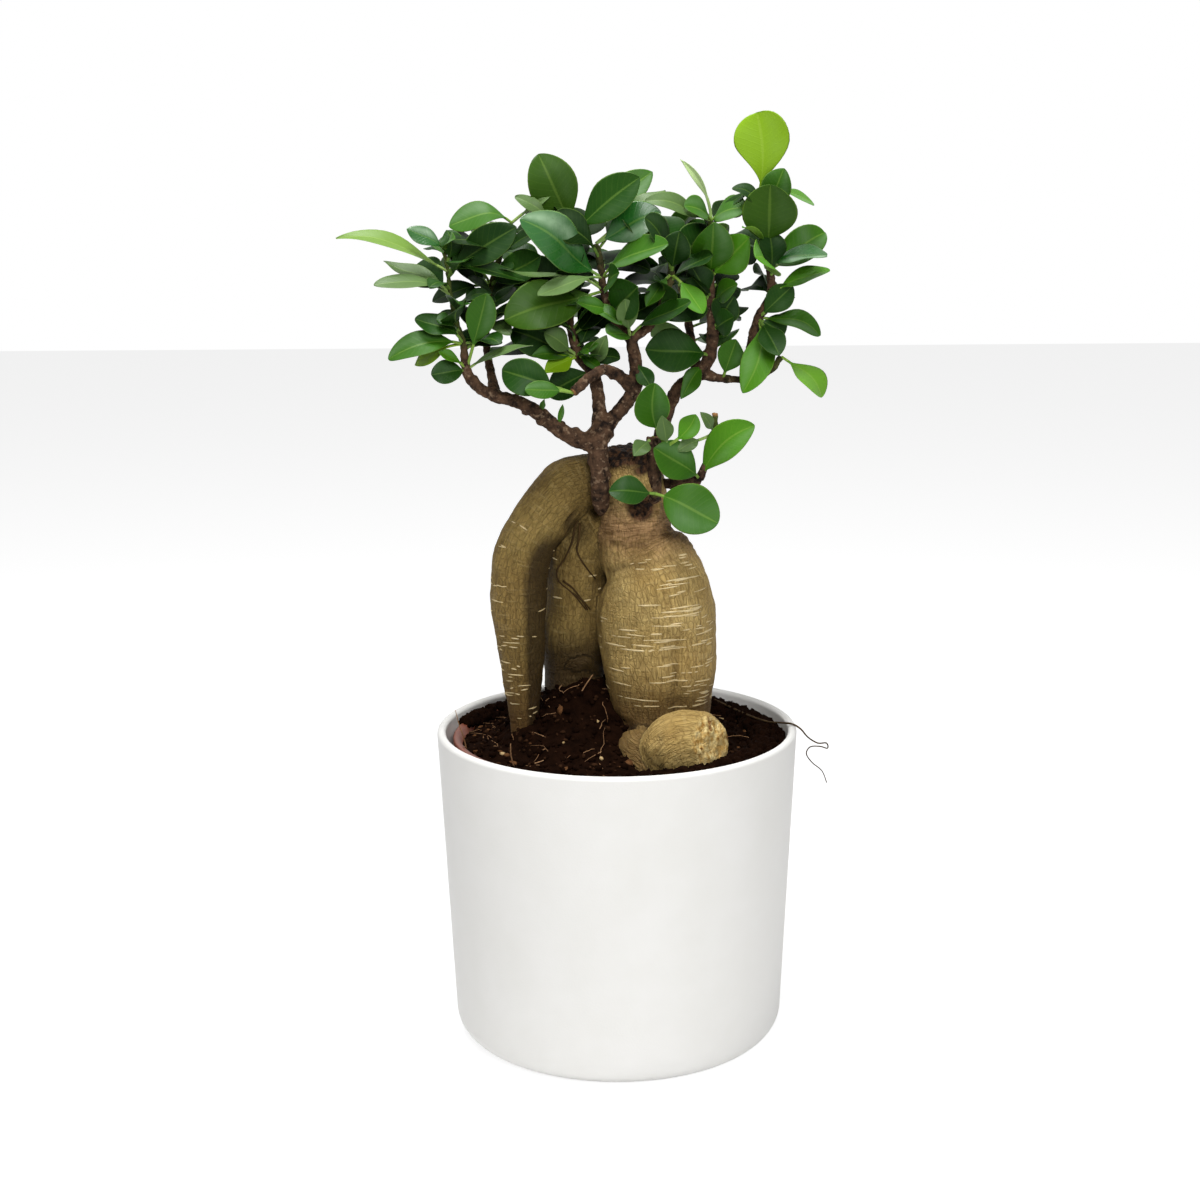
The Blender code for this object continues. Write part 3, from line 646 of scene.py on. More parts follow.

# Painted shade in the nooks: darker where rays out of the skin soon meet it again.
NOOK_REACH, NOOK_RAYS = 22.0, 8
rootstock.normal_update()
for vert in rootstock.verts:
    out = vert.normal
    over, beside = out.orthogonal().normalized(), out.cross(out.orthogonal()).normalized()
    start, occlusion_shade = vert.co + out * 0.4 * MM, 0.0
    for ray in range(NOOK_RAYS):
        turn = 2 * math.pi * ray / NOOK_RAYS
        way = out * 0.75 + over * math.cos(turn) + beside * math.sin(turn)
        distance = rootstock_skin.ray_cast(start, way.normalized(), NOOK_REACH * MM)[3]
        if distance is not None:
            occlusion_shade += (1 - distance / (NOOK_REACH * MM)) / NOOK_RAYS
    vert[tone_and_shade_layer][2] = max(0.75 * occlusion_shade, vert[tone_and_shade_layer][2])


def maths(tree, kind, first, second):
    """Two values put through a Math node, such as ADD or MAXIMUM."""
    return add_node(tree, "Math", {0: first, 1: second}, operation=kind).outputs[0]


def times(tree, first, second):
    return maths(tree, "MULTIPLY", first, second)


bark, tree, shader, where = new_material("rootstock_bark", Roughness=0.62)
shader.inputs["Specular IOR Level"].default_value = 0.15
grain = add_node(tree, "Attribute", attribute_name="grain").outputs["Vector"]
marks = add_node(tree, "SeparateXYZ", {0: add_node(
    tree, "Attribute", attribute_name="marks").outputs["Vector"]}).outputs
tone_and_shade = add_node(tree, "SeparateXYZ", {0: add_node(
    tree, "Attribute", attribute_name="tone_and_shade").outputs["Vector"]}).outputs
height = add_node(tree, "SeparateXYZ", {0: where}).outputs["Z"]
wrinkle_way = add_node(tree, "Mapping", {"Vector": grain, "Scale": (0.75, 0.75, 0.13)}).outputs[0]
wrinkles = add_node(tree, "TexNoise", {"Vector": wrinkle_way, "Scale": 1.0, "Detail": 4.0,
                                       "Roughness": 0.65, "Distortion": 0.5}).outputs[0]
net_way = add_node(tree, "Mapping", {"Vector": grain, "Scale": (0.62, 0.62, 0.34)}).outputs[0]
net = add_node(tree, "TexVoronoi", {"Vector": net_way, "Scale": 1.0, "Randomness": 1.0},
               feature="DISTANCE_TO_EDGE").outputs[0]
net = span(tree, net, 0.0, 0.12, 1.0, 0.0)
ring_way = add_node(tree, "Mapping", {"Vector": grain, "Scale": (0.1, 0.1, 0.9)}).outputs[0]
rings = add_node(tree, "TexNoise", {"Vector": ring_way, "Scale": 1.0, "Detail": 3.0}).outputs[0]
patches = mottle(tree, where, 55.0, 420.0)
# painted light: a shaded and a sunny copy of the bark, the sunny one on the bulb and the stump
shaded = blend(tree, patches["Both"], tint(108, 84, 40), tint(160, 132, 74))
sunny = blend(tree, patches["Both"], tint(170, 138, 76), tint(222, 192, 126))
colour = blend(tree, tone_and_shade["X"], shaded, sunny)
# painted shade: the darker colour that fills the wrinkles and the net of cracks
furrow_shade = blend(tree, tone_and_shade["X"], tint(78, 58, 28), tint(124, 96, 52))
colour = blend(tree, span(tree, wrinkles, 0.36, 0.6, 0.55, 0.0), colour, furrow_shade)
colour = blend(tree, times(tree, net, 0.4), colour, furrow_shade)
colour = blend(tree, span(tree, rings, 0.56, 0.75, 0.0, 0.3), colour, tint(204, 180, 124))
olive = mottle(tree, where, 28.0, 90.0)["Patches"]
colour = blend(tree, times(tree, olive, 0.25), colour, tint(112, 104, 54))
fold_way = add_node(tree, "Mapping", {"Vector": grain, "Scale": (0.16, 0.16, 1.1)}).outputs[0]
folds = add_node(tree, "TexNoise", {"Vector": fold_way, "Scale": 1.0, "Detail": 4.0,
                                    "Roughness": 0.6, "Distortion": 0.8}).outputs[0]
colour = blend(tree, times(tree, tone_and_shade["Y"], 0.75), colour, blend(
    tree, span(tree, folds, 0.38, 0.6), tint(92, 60, 38), tint(178, 138, 100)))
earthy = span(tree, height, 0.129, 0.165, 0.8, 0.0)
colour = blend(tree, times(tree, earthy, span(tree, tone_and_shade["X"], 0.5, 1.0, 1.0, 0.0)),
               colour, tint(88, 60, 32))
# painted shade: the spots under the arch, the nooks, the left leg's inner side and the middle leg's
# foot darken the bark
colour = blend(tree, span(tree, tone_and_shade["Z"], 0.12, 0.65, 0.0, 0.8), colour, tint(36, 24, 9))
# painted shade in the creases
colour = blend(tree, marks["X"], colour, tint(52, 36, 20))
broken = add_node(tree, "TexNoise", {"Vector": where, "Scale": 210.0, "Detail": 4.0,
                                     "Roughness": 0.6}).outputs[0]
wood = blend(tree, span(tree, patches["Grain"], 0.35, 0.65), tint(194, 152, 80), tint(238, 214, 150))
wood = blend(tree, span(tree, broken, 0.36, 0.45, 0.8, 0.0), wood, tint(112, 62, 24))
colour = blend(tree, marks["Z"], colour, wood)
# painted shade, darker still where a crease crosses the sawn face
colour = blend(tree, times(tree, marks["X"], marks["Z"]), colour, tint(66, 34, 14))
colour = blend(tree, span(tree, marks["Y"], 0.15, 0.6), colour, blend(
    tree, span(tree, patches["Grain"], 0.42, 0.62), tint(26, 16, 10), tint(92, 64, 42)))
tree.links.new(colour, shader.inputs["Base Color"])
skin = maths(tree, "ADD", wrinkles, times(tree, rings, 0.6))
skin = maths(tree, "SUBTRACT", skin, times(tree, net, 0.25))
relief(tree, shader, skin, 0.0011)
place("rootstock_bark", rootstock, bark, "root_bark", "rootstock")


# Cork scratches: short raised lines of pale cork that run round the roots, in groups where the
# bark stretched most. Each grows a little proud of the skin.
# A patch is (limb, from and to share of its length, from and to angle, count, length in degrees);
# angle 0 faces the front and 90 the right.
SCRATCH_PATCHES = [
    (0, 0.45, 0.56, 10, 60, 12, 22),
    (0, 0.53, 0.64, -15, 55, 16, 24),
    (0, 0.60, 0.76, -50, 20, 16, 24),
    (0, 0.58, 0.80, 25, 70, 22, 16),
    (0, 0.66, 0.86, -60, 60, 18, 30),
    (0, 0.36, 0.46, -20, 60, 12, 12),
    (0, 0.4, 0.85, 80, 290, 60, 22),
    (1, 0.30, 0.60, -80, -10, 14, 24),
    (1, 0.55, 0.9, -85, 10, 26, 30),
    (1, 0.3, 0.9, 60, 280, 30, 30),
    (2, 0.25, 0.5, -60, 50, 6, 14),
    (2, 0.3, 0.8, 90, 270, 26, 26),
    (1, 0.55, 0.9, -60, 50, 10, 24),
]
SCRATCH_WIDTH, SCRATCH_RISE = 0.36, 0.14
# The bulb's scratches lie almost level, whichever way its middle line leans.
BULB_LEVEL = 0.8


def skin_spot(sample, angle):
    """Where the ray from a limb's middle line, at an angle from the front, leaves the skin."""
    centre, radius, first, second = sample[:4]
    ray = first * math.cos(angle) - second * math.sin(angle)
    spot, normal, face, distance = rootstock_skin.ray_cast(centre * MM, ray)
    if spot is None or distance > 1.7 * radius * MM or normal.dot(ray) < 0.3:
        return None
    return spot / MM, normal


def add_scratch(bm, sample, angle, length, rng):
    """A thin lens of cork round a limb; it is left out where another root is in the way."""
    tilt = rng.uniform(-0.5, 0.5)
    first, second, along = sample[2:5]
    if sample[6] == 0:
        along = along.lerp(Vector((0, 0, -1)), BULB_LEVEL).normalized()
        first = (first - along * first.dot(along)).normalized()
        second = along.cross(first)
    spots = []
    for i in range(6):
        share = i / 5
        middle = sample[0] + along * (tilt * (share - 0.5))
        hit = skin_spot((middle, sample[1], first, second), angle + length * (share - 0.5))
        if hit is None or spots and (hit[0] - spots[-1][0]).length > 5:
            return
        spots.append(hit)
    if min(spot.z for spot, normal in spots) < 132:
        return
    width = SCRATCH_WIDTH * rng.uniform(0.6, 1.15)

    def spot_of(i, x, y):
        spot, normal = spots[i]
        along = sample[4] - normal * sample[4].dot(normal)
        taper = math.sin(math.pi * (0.06 + 0.88 * i / 5)) ** 0.6
        return spot + (along.normalized() * x * width + normal * y * SCRATCH_RISE) * taper

    sleeve(bm, 6, 6, spot_of)


cork, tree, shader, where = new_material("pale_cork", Roughness=0.75)
marks = mottle(tree, where, 300.0, 2500.0)
tree.links.new(blend(tree, marks["Both"], tint(190, 166, 114), tint(230, 210, 164)),
               shader.inputs["Base Color"])
rng = random.Random(8)
bm = bmesh.new()
for limb, low, high, turn_from, turn_to, count, length in SCRATCH_PATCHES:
    stations = [sample for sample in samples if sample[6] == limb]
    for scratch in range(count):
        sample = stations[int(rng.uniform(low, high) * (len(stations) - 1))]
        shifted = list(sample)
        shifted[0] = sample[0] + sample[4] * rng.uniform(-0.8, 0.8)
        add_scratch(bm, shifted, math.radians(rng.uniform(turn_from, turn_to)),
                    math.radians(length * rng.uniform(0.35, 1.5)), rng)
bmesh.ops.recalc_face_normals(bm, faces=bm.faces)
place("rootstock_cork_scratches", bm, cork, "root_bark")


# Wiry roots: two dark hair roots that hang from under the arch of the left leg and cling to the
# middle leg, and the one that creeps over the soil and hangs over the rim at the right.
CLINGING = [
    [(-15, 212), (-16.1, 209.7), (-17.4, 203), (-20.6, 196.2), (-23.3, 192), (-22.5, 187.6),
     (-17.2, 183), (-12, 176)],
    [(-14, 211), (-14.6, 205), (-15.3, 200), (-11.8, 193.5), (-8.3, 188.5)],
    [(-17.2, 183), (-14.5, 181), (-12.5, 179), (-10.5, 176)],
    [(-21, 188), (-17, 185), (-13.5, 180), (-11.5, 176)],
]
SURFACE_ROOT = [
    (24, 50, 122.6, 0.5), (32, 50, 124.4, 0.5), (40, 49, 125.3, 0.5), (46, 40, 125.2, 0.45),
    (51, 30, 125.2, 0.45), (57, 18, 125.6, 0.45), (62, 8, 126.6, 0.4), (66, 1, 128.2, 0.4),
    (70.5, -3, 128.8, 0.4), (74, -4, 127, 0.35), (77, -4, 123.5, 0.3), (81, -4, 121, 0.3),
    (84.5, -4, 121, 0.28), (85, -4, 118.8, 0.26), (82, -4, 119.6, 0.25),
    (78, -4, 119.4, 0.25), (76.5, -4, 116.5, 0.24), (79, -3, 112.5, 0.22),
    (83, -3, 109, 0.2), (85, -3, 104, 0.18),
]
wiry, tree, shader, where = new_material("wiry_root_brown", Roughness=0.7)
shader.inputs["Specular IOR Level"].default_value = 0.1
marks = mottle(tree, where, 200.0, 2000.0)
tree.links.new(blend(tree, marks["Both"], tint(36, 25, 12), tint(80, 60, 32)),
               shader.inputs["Base Color"])
bm = bmesh.new()
for path in CLINGING:
    rows = []
    for x, z in path:
        spot, normal, face, distance = rootstock_skin.ray_cast(mm(x, -60, z), Vector((0, 1, 0)))
        rows.append((*(spot / MM + normal * 0.3), 0.46 - 0.22 * len(rows) / len(path)))
    strand(bm, rows, 6, 3)
bmesh.ops.recalc_face_normals(bm, faces=bm.faces)
place("clinging_roots", bm, wiry, "thin_root")
bm = bmesh.new()
strand(bm, SURFACE_ROOT, 8, 4)
bmesh.ops.recalc_face_normals(bm, faces=bm.faces)
place("surface_root_creeper", bm, wiry, "thin_root", "surface_root")


# Grafted stems: thin woody stems set into the neck, pruned and forked many times. The bark is
# dark brown and rough, with rings and knobs where leaves have fallen.
FRONT_STEM = [
    [(-2, 4, 213, 2.4), (-4.4, -3, 217, 3.2), (-5.8, -8, 221.5, 3.6), (-6, -10.8, 227, 3.7),
     (-6, -11.2, 234, 3.7), (-7, -10, 244, 4.2)],
    [(-7, -10, 244, 4.2), (-15, -10, 246, 3.4), (-22, -11, 250, 3), (-29, -12, 256, 2.9),
     (-38, -12, 261, 2.6), (-46, -12, 263, 2.4), (-53, -12, 267, 2.3), (-57, -12, 273, 2.1),
     (-58, -11, 283, 1.4), (-61, -8, 292, 1.1), (-63, -5, 301, 1), (-64, -3, 310, 0.9),
     (-65, -2, 318, 0.8)],
    [(-46, -12, 263, 2.6), (-48, -2, 270, 1.8), (-50, 5, 280, 1.6), (-50, 8, 292, 1.5),
     (-48, 8, 304, 1.3), (-44, 7, 316, 1.1), (-39.5, 6, 328, 1)],
    [(-7, -10, 244, 4.2), (-6, -8, 253, 3), (-6.5, -6, 263, 2.5), (-9, -4, 272, 2.4),
     (-14, -1, 277, 2), (-17, 2, 288, 1.6), (-17, 4, 300, 1.3), (-16, 5, 312, 1.2),
     (-15, 5, 324, 1.1)],
    [(-9, -4, 272, 2.4), (-14, 9, 281, 1.7), (-20, 21, 291, 1.6), (-24, 31, 303, 1.4),
     (-24, 37, 315, 1.2)],
    [(8, -6, 264, 2.5), (2, -9, 270, 2.4), (-4, -12, 273, 2.2), (-10, -16, 270, 2.1),
     (-16, -20, 265, 1.9)],
    [(-7, -10, 244, 4.2), (-2, -8, 252, 3), (4, -7, 259, 2.8), (8, -6, 266, 2.8),
     (8, -5, 275, 2.6), (6, -3, 284, 2.2), (-1, 0, 293, 1.8), (-4, 1, 302, 1.6),
     (-5, 2, 311, 1.5), (-7, 3, 320, 1.3)],
    [(6, -3, 284, 2.2), (14, -2, 289, 1.8), (19, 0, 298, 1.5), (22, 1, 308, 1.4),
     (22, 2, 318, 1.2)],
]
RIGHT_STEM = [
    [(15, 10, 226, 3.2), (17, 13, 238, 3), (20, 15, 250, 2.8), (25, 17, 262, 2.6),
     (33, 18, 268, 2.6), (38, 18, 275, 2.6), (39, 18, 285, 2.4), (38, 17, 296, 2),
     (38, 16, 306, 1.6), (37, 14, 317, 1.4), (38, 12, 328, 1.2)],
    [(39, 18, 285, 2.4), (46, 17, 293, 1.4)],
    [(33, 18, 268, 2.6), (31, 27, 279, 1.8), (29, 35, 291, 1.6), (24, 41, 303, 1.4),
     (22, 44, 315, 1.2)],
    [(29, 35, 291, 1.6), (36, 42, 299, 1.3), (41, 46, 309, 1.1)],
    [(33, 18, 268, 2.6), (43, 17, 266, 1.6), (53, 15, 266, 1.6), (61, 13, 269, 1.4),
     (66, 12, 275, 1.3)],
    [(53, 15, 266, 1.6), (54, 17, 279, 1.8), (57, 17, 290, 2), (62, 15, 299, 2),
     (61, 13, 309, 1.6), (60, 11, 319, 1.4), (58.5, 9, 329, 1.3), (56.3, 8, 338.5, 1.1)],
]
CUT_STEM = [
    [(15, -8, 222, 3), (15, -7, 234, 3), (15, -6, 246, 2.8)],
    [(15, -8, 222, 3), (15.5, -15, 225, 1.4)],
    [(15, -7, 234, 3), (20, -10, 243, 1.1)],
]
LOW_TWIG = [
    [(17, -1, 227, 2), (26, -4, 227, 2.2), (33, -5, 229, 2)],
    [(33, -5, 229, 2), (36.5, -4, 238, 1.2), (39, -3, 247, 1.1), (39, -3, 255, 1.2)],
]
STEM_SIDES, STEM_STEPS, STEM_VOXEL = 14, 4, 0.55

twig_bark, tree, shader, where = new_material("twig_bark", Roughness=0.85)
shader.inputs["Specular IOR Level"].default_value = 0.15
marks = mottle(tree, where, 260.0, 1100.0, 0.4)
colour = blend(tree, span(tree, marks["Both"], 0.25, 0.75), tint(24, 15, 10), tint(94, 70, 52))
# pale grey flecks: partly the bark's own grey flecks, partly painted highlights
flecks_and_highlights = mottle(tree, where, 150.0, 620.0, 0.8)["Both"]
colour = blend(tree, span(tree, flecks_and_highlights, 0.58, 0.72, 0.0, 0.7), colour, tint(146, 122, 98))
shoots = add_node(tree, "Attribute", attribute_name="green").outputs["Fac"]
colour = blend(tree, times(tree, shoots, 0.8), colour, blend(
    tree, marks["Both"], tint(34, 48, 16), tint(86, 104, 44)))
ends = span(tree, add_node(tree, "Attribute", attribute_name="sawn").outputs["Fac"], 0.3, 0.8)
colour = blend(tree, ends, colour, tint(168, 122, 78))
tree.links.new(colour, shader.inputs["Base Color"])
relief(tree, shader, marks["Both"], 0.0007)


def grown_stem(name, runs, seed, sawn_ends=()):
    """A forked stem grown into one body, with knobs at the leaf scars."""
    rng = random.Random(seed)
    bm = bmesh.new()
    lines = [smooth_line(run, STEM_STEPS) for run in runs]
    radii = [row[3] for line in lines for row in line]
    thickness = KDTree(len(radii))
    for run, line in zip(runs, lines):
        strand(bm, run, STEM_SIDES, STEM_STEPS)
        for row in line[2:-2:3]:
            size = row[3] * rng.uniform(0.45, 0.75)
            side = Vector([rng.uniform(-1, 1) for axis in range(3)]).normalized() * row[3] * 0.75
            knob = bmesh.ops.create_icosphere(bm, subdivisions=2, radius=size * MM)["verts"]
            bmesh.ops.translate(bm, verts=knob, vec=(Vector(row[:3]) + side) * MM)
    for number, row in enumerate(row for line in lines for row in line):
        thickness.insert(row[:3], number)
    thickness.balance()
    bmesh.ops.recalc_face_normals(bm, faces=bm.faces)
    rough = loose_object(name + "_runs", bm)
    grow = rough.modifiers.new("Grow together", "REMESH")
    grow.mode = "VOXEL"
    grow.voxel_size = STEM_VOXEL * MM
    ease = rough.modifiers.new("Ease", "SMOOTH")
    ease.factor = 0.5
    ease.iterations = 2
    stem = bmesh.new()
    stem.from_mesh(applied(rough))
    bpy.data.objects.remove(rough)
    stem.normal_update()
    sawn, green = stem.verts.layers.float.new("sawn"), stem.verts.layers.float.new("green")
    moves = []
    for vert in stem.verts:
        spot = vert.co / MM
        lift = lumps(spot, (0.38, 2.4), (0.22, 1.1))
        moves.append((vert, vert.normal * lift * MM))
        vert[sawn] = max([fade((spot - Vector(end)).length, 2.4, 4) for end in sawn_ends],
                         default=0.0)
        # the thinnest shoots are this year's, and still green
        vert[green] = held((1.6 - radii[thickness.find(spot)[1]]) / 0.4)
    for vert, move in moves:
        vert.co += move
    return place(name + "_bark", stem, twig_bark, "twig_bark", name)


grown_stem("front_stem", FRONT_STEM, 3, [(-17, -21.5, 264.5)])
grown_stem("right_stem", RIGHT_STEM, 4)
grown_stem("cut_stem", CUT_STEM, 5, [(15, -6, 247)])
grown_stem("low_twig", LOW_TWIG, 6, [(39, -3, 255.6)])


# Leaves: firm and glossy, dark green above and paler below, with a sunken midrib and a thin pale
# edge. Each grows from a stem on a short green stalk; the youngest are yellow-green and thin.
# A row is (tip x, y, z from the stem, width, face x, y, z, bow, sweep, stalk share, form, tone):
# the bow lifts the middle towards the face, and the sweep moves it sideways.
LEAF_STATIONS, LEAF_SIDES = 26, 20
STALK_STATIONS, STALK_RADIUS, BLADE_HALF_THICKNESS = 5, 0.5, 0.24
LEAF_FULLNESS = 1.2
GROWTH_TURN = math.radians(137.5)
SIDE_VEINS, VEIN_SLANT = 11.0, 2.2
# the first colour is a painted sheen on the leaves' upper side
SHEEN_COLOUR, RIB_COLOUR = (164, 192, 158), (176, 206, 100)
# How far out the blade is widest, how pointed its base and its tip are, and how far it folds up.
FORMS = {
    "oval": (0.54, 0.85, 0.62, 0.16), "round": (0.52, 0.62, 0.52, 0.14),
    "spoon": (0.62, 1.0, 0.52, 0.12), "lance": (0.50, 0.9, 0.85, 0.24),
    "folded": (0.52, 0.75, 0.58, 0.45), "paddle": (0.63, 0.95, 0.38, 0.08),
}
# Upper side, under side, roughness, how strongly it reflects, and how much painted sheen it has.
TONES = {
    # the shade tone is painted shade, for leaves deep inside the canopy
    "shade": ((9, 34, 4), (24, 50, 14), 0.5, 0.06, 0.04),
    "deep": ((14, 48, 6), (38, 70, 20), 0.42, 0.12, 0.04),
    "dark": ((22, 62, 6), (52, 88, 26), 0.40, 0.14, 0.04),
    "olive": ((44, 78, 6), (52, 82, 14), 0.42, 0.14, 0.04),
    "teal": ((24, 84, 24), (66, 104, 48), 0.27, 0.5, 0.55),
    "mid": ((46, 94, 10), (78, 112, 36), 0.40, 0.16, 0.12),
    "fresh": ((72, 130, 20), (104, 140, 44), 0.42, 0.2, 0.12),
    "bright": ((98, 154, 30), (118, 160, 50), 0.42, 0.25, 0.04),
    "young": ((124, 164, 18), (130, 164, 30), 0.45, 0.15, 0.04),
    "sage": ((104, 138, 50), (128, 152, 90), 0.45, 0.3, 0.04),
    "grey": ((78, 106, 52), (98, 122, 76), 0.45, 0.3, 0.04),
    "pale": ((166, 190, 130), (160, 184, 140), 0.5, 0.2, 0.04),
}
LEAF_SLOTS = {"young": "leaf_young", "bright": "leaf_young", "grey": "leaf_dull",
              "sage": "leaf_dull", "pale": "leaf_dull"}


def make_blade_group():
    """Colour and height of a leaf, from each point's place on it: x along, y across, z side."""
    tree, takes, gives = new_group(
        "leaf_blade",
        [("Place", "Vector", None), ("Vector", "Vector", None), ("Upper", "Color", None),
         ("Under", "Color", None), ("Rib", "Color", None), ("Painted Sheen", "Float", 0.1)],
        [("Color", "Color"), ("Height", "Float"), ("Roughness", "Float")])
    along, across, side = add_node(tree, "SeparateXYZ", {0: takes["Place"]}).outputs
    out = maths(tree, "ABSOLUTE", across, 0.0)
    marks = mottle(tree, takes["Vector"], 130.0, 900.0)
    # side veins run out and forwards from the midrib
    lean = maths(tree, "SUBTRACT", times(tree, along, SIDE_VEINS), times(tree, out, VEIN_SLANT))
    vein = maths(tree, "PINGPONG", lean, 0.5)
    vein = span(tree, vein, 0.0, 0.12, 1.0, 0.0)
    rib = span(tree, out, 0.03, 0.075, 1.0, 0.0)
    edge = span(tree, out, 0.93, 0.985)
    stalk = span(tree, along, -0.02, 0.03, 1.0, 0.0)
    upper = blend(tree, times(tree, marks["Both"], 0.06), takes["Upper"], takes["Rib"])
    upper = blend(tree, times(tree, vein, 0.05), upper, takes["Rib"])
    # painted sheen and painted light on one half, thickest between the midrib and the edge
    left = times(tree, across, -1.0)
    painted_sheen = times(tree, span(tree, left, 0.05, 0.45), span(tree, left, 0.6, 1.0, 1.0, 0.2))
    painted_sheen = times(tree, painted_sheen, span(tree, along, 0.1, 0.45))
    painted_sheen = times(tree, painted_sheen, span(tree, marks["Patches"], 0.0, 0.8, 0.4, 1.0))
    upper = blend(tree, times(tree, painted_sheen, takes["Painted Sheen"]), upper, tint(*SHEEN_COLOUR))
    upper = blend(tree, times(tree, rib, 0.3), upper, takes["Rib"])
    under = blend(tree, times(tree, rib, 0.7), takes["Under"], takes["Rib"])
    under = blend(tree, times(tree, marks["Patches"], 0.3), under, takes["Upper"])
    colour = blend(tree, span(tree, side, -0.1, 0.1), under, upper)
    colour = blend(tree, times(tree, edge, 0.45), colour, takes["Rib"])
    colour = blend(tree, stalk, colour, takes["Rib"])
    height = maths(tree, "SUBTRACT", times(tree, marks["Grain"], 0.25), times(tree, vein, 0.35))
    tree.links.new(colour, gives.inputs["Color"])
    tree.links.new(height, gives.inputs["Height"])
    tree.links.new(span(tree, marks["Patches"], 0.0, 1.0, -0.05, 0.06), gives.inputs["Roughness"])
    return tree


def leaf_finish(tone):
    upper, under, roughness, gloss, painted_sheen = TONES[tone]
    material, tree, shader, where = new_material("leaf_" + tone, Roughness=roughness, IOR=1.45)
    shader.inputs["Specular IOR Level"].default_value = gloss
    lit = [0.5 * a + 0.5 * b for a, b in zip(under, RIB_COLOUR)]
    blade = add_node(tree, "Group", {
        "Place": add_node(tree, "Attribute", attribute_name="blade").outputs["Vector"],
        "Vector": where, "Upper": tint(*upper), "Under": tint(*under), "Rib": tint(*lit),
        "Painted Sheen": painted_sheen}, node_tree=blade_group).outputs
    tree.links.new(blade["Color"], shader.inputs["Base Color"])
    tree.links.new(maths(tree, "ADD", blade["Roughness"], roughness), shader.inputs["Roughness"])
    relief(tree, shader, blade["Height"], 0.00006)
    return material


blade_group = make_blade_group()
leaf_finishes = {tone: leaf_finish(tone) for tone in TONES}


def add_leaf(bm, seed, base, row):
    """One leaf with its stalk, as one closed body in bm."""
    dx, dy, dz, width, face_x, face_y, face_z, bow, sweep, stalk, form, tone = row
    widest, base_point, tip_point, fold = FORMS[form]
    rng = random.Random(seed)
    wave, phase, turns = rng.uniform(0.1, 0.6), rng.uniform(0, 6.3), rng.uniform(1.1, 2.0)
    twist, roll = rng.uniform(-0.5, 0.5), rng.uniform(-0.05, 0.05)
    fold *= rng.uniform(0.6, 1.5)
    run, face = Vector((dx, dy, dz)), Vector((face_x, face_y, face_z))
    along = run.normalized()
    face = (face - along * face.dot(along)).normalized()
    side = face.cross(along)
    last = LEAF_STATIONS - 1
    shares = [stalk * i / STALK_STATIONS for i in range(STALK_STATIONS)]
    shares += [stalk + (1 - stalk) * (1 - math.cos(math.pi * i / (last - STALK_STATIONS))) / 2
               for i in range(last - STALK_STATIONS + 1)]
    line = [Vector(base) + run * s + (face * bow + side * sweep) * (4 * s * (1 - s))
            + face * (roll * run.length * math.sin(2 * math.pi * s)) for s in shares]
    ways = cross_ways(line, face)
    power = math.log(0.5) / math.log(widest)
    blades = [max(0.0, (s - stalk) / (1 - stalk)) for s in shares]
    halves, thicks = [], []
    for u in blades:
        point = tip_point if u > widest else base_point
        inside = 0 < u < 1
        half = LEAF_FULLNESS * width / 2 * math.sin(math.pi * u ** power) ** point if inside else 0
        halves.append(max(half, STALK_RADIUS * (1 - u) + 0.12))
        thick = STALK_RADIUS + (BLADE_HALF_THICKNESS - STALK_RADIUS) * min(1, u * 8)
        thicks.append(thick * (1 - 0.45 * u))
    layer = bm.verts.layers.float_vector.get("blade") or bm.verts.layers.float_vector.new("blade")
    marks = []

    def spot_of(i, x, y):
        up, left, ahead = ways[i]
        u = blades[i]
        lean = twist * (u - 0.5) * (u > 0)
        up, left = (up * math.cos(lean) - left * math.sin(lean),
                    left * math.cos(lean) + up * math.sin(lean))
        out = math.copysign(abs(x) ** 1.5, x) if u > 0.02 else x
        lift = fold * halves[i] * abs(out) ** 1.25
        lift += wave * out * out * math.sin(turns * 2 * math.pi * u + phase + 1.6 * (x > 0)) * u
        sunk = (abs(x) < 0.1) * (u > 0.02) * (1 - 0.8 * u) * min(1, halves[i] / 4)
        lift -= (0.14 if y > 0 else 0.42) * sunk
        marks.append((u if u > 0 else -1.0, out, y))
        return line[i] - left * (out * halves[i]) + up * (y * thicks[i] + lift)

    for vert, mark in zip(sleeve(bm, LEAF_STATIONS, LEAF_SIDES, spot_of), marks):
        vert[layer] = mark


def leaf(name, base, row):
    bm = bmesh.new()
    add_leaf(bm, name, base, row)
    bmesh.ops.recalc_face_normals(bm, faces=bm.faces)
    nodes = [name[6:]] if name[6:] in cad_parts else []
    tone = row[-1]
    return place(name, bm, leaf_finishes[tone], LEAF_SLOTS.get(tone, "leaf_green"), *nodes)


def leaf_shoots(shoots):
    for shoot, base, rows in shoots:
        for number, row in enumerate(rows, 1):
            leaf(f"ficus_leaf_{shoot}_{number}", base, row)


def inner_leaves(name, run, count, seed, tone, away, low=0.15, length=(19, 27)):
    """The older leaves up one shoot, in turn round it as they grow, joined into one piece."""
    rng = random.Random(seed)
    line = smooth_line(run, 8)
    bm = bmesh.new()
    for number in range(count):
        base = line[int((low + (1 - low) * number / count) * (len(line) - 1))]
        angle = number * GROWTH_TURN + rng.uniform(-0.4, 0.4)
        out = Vector((math.cos(angle) + away[0], math.sin(angle) + away[1], rng.uniform(0, 0.9)))
        size = rng.uniform(*length)
        way = out.normalized() * size
        face = Vector((0, -0.55, 1)) + Vector([rng.uniform(-0.4, 0.4) for axis in range(3)])
        add_leaf(bm, f"{name} {number}", base[:3], (
            *way, size * rng.uniform(0.5, 0.62), *face, rng.uniform(1, 3.5), rng.uniform(-2, 2),
            rng.uniform(0.14, 0.24), rng.choice(("oval", "oval", "round", "spoon")), tone))
    bmesh.ops.recalc_face_normals(bm, faces=bm.faces)
    return place(name, bm, leaf_finishes[tone], LEAF_SLOTS.get(tone, "leaf_green"))


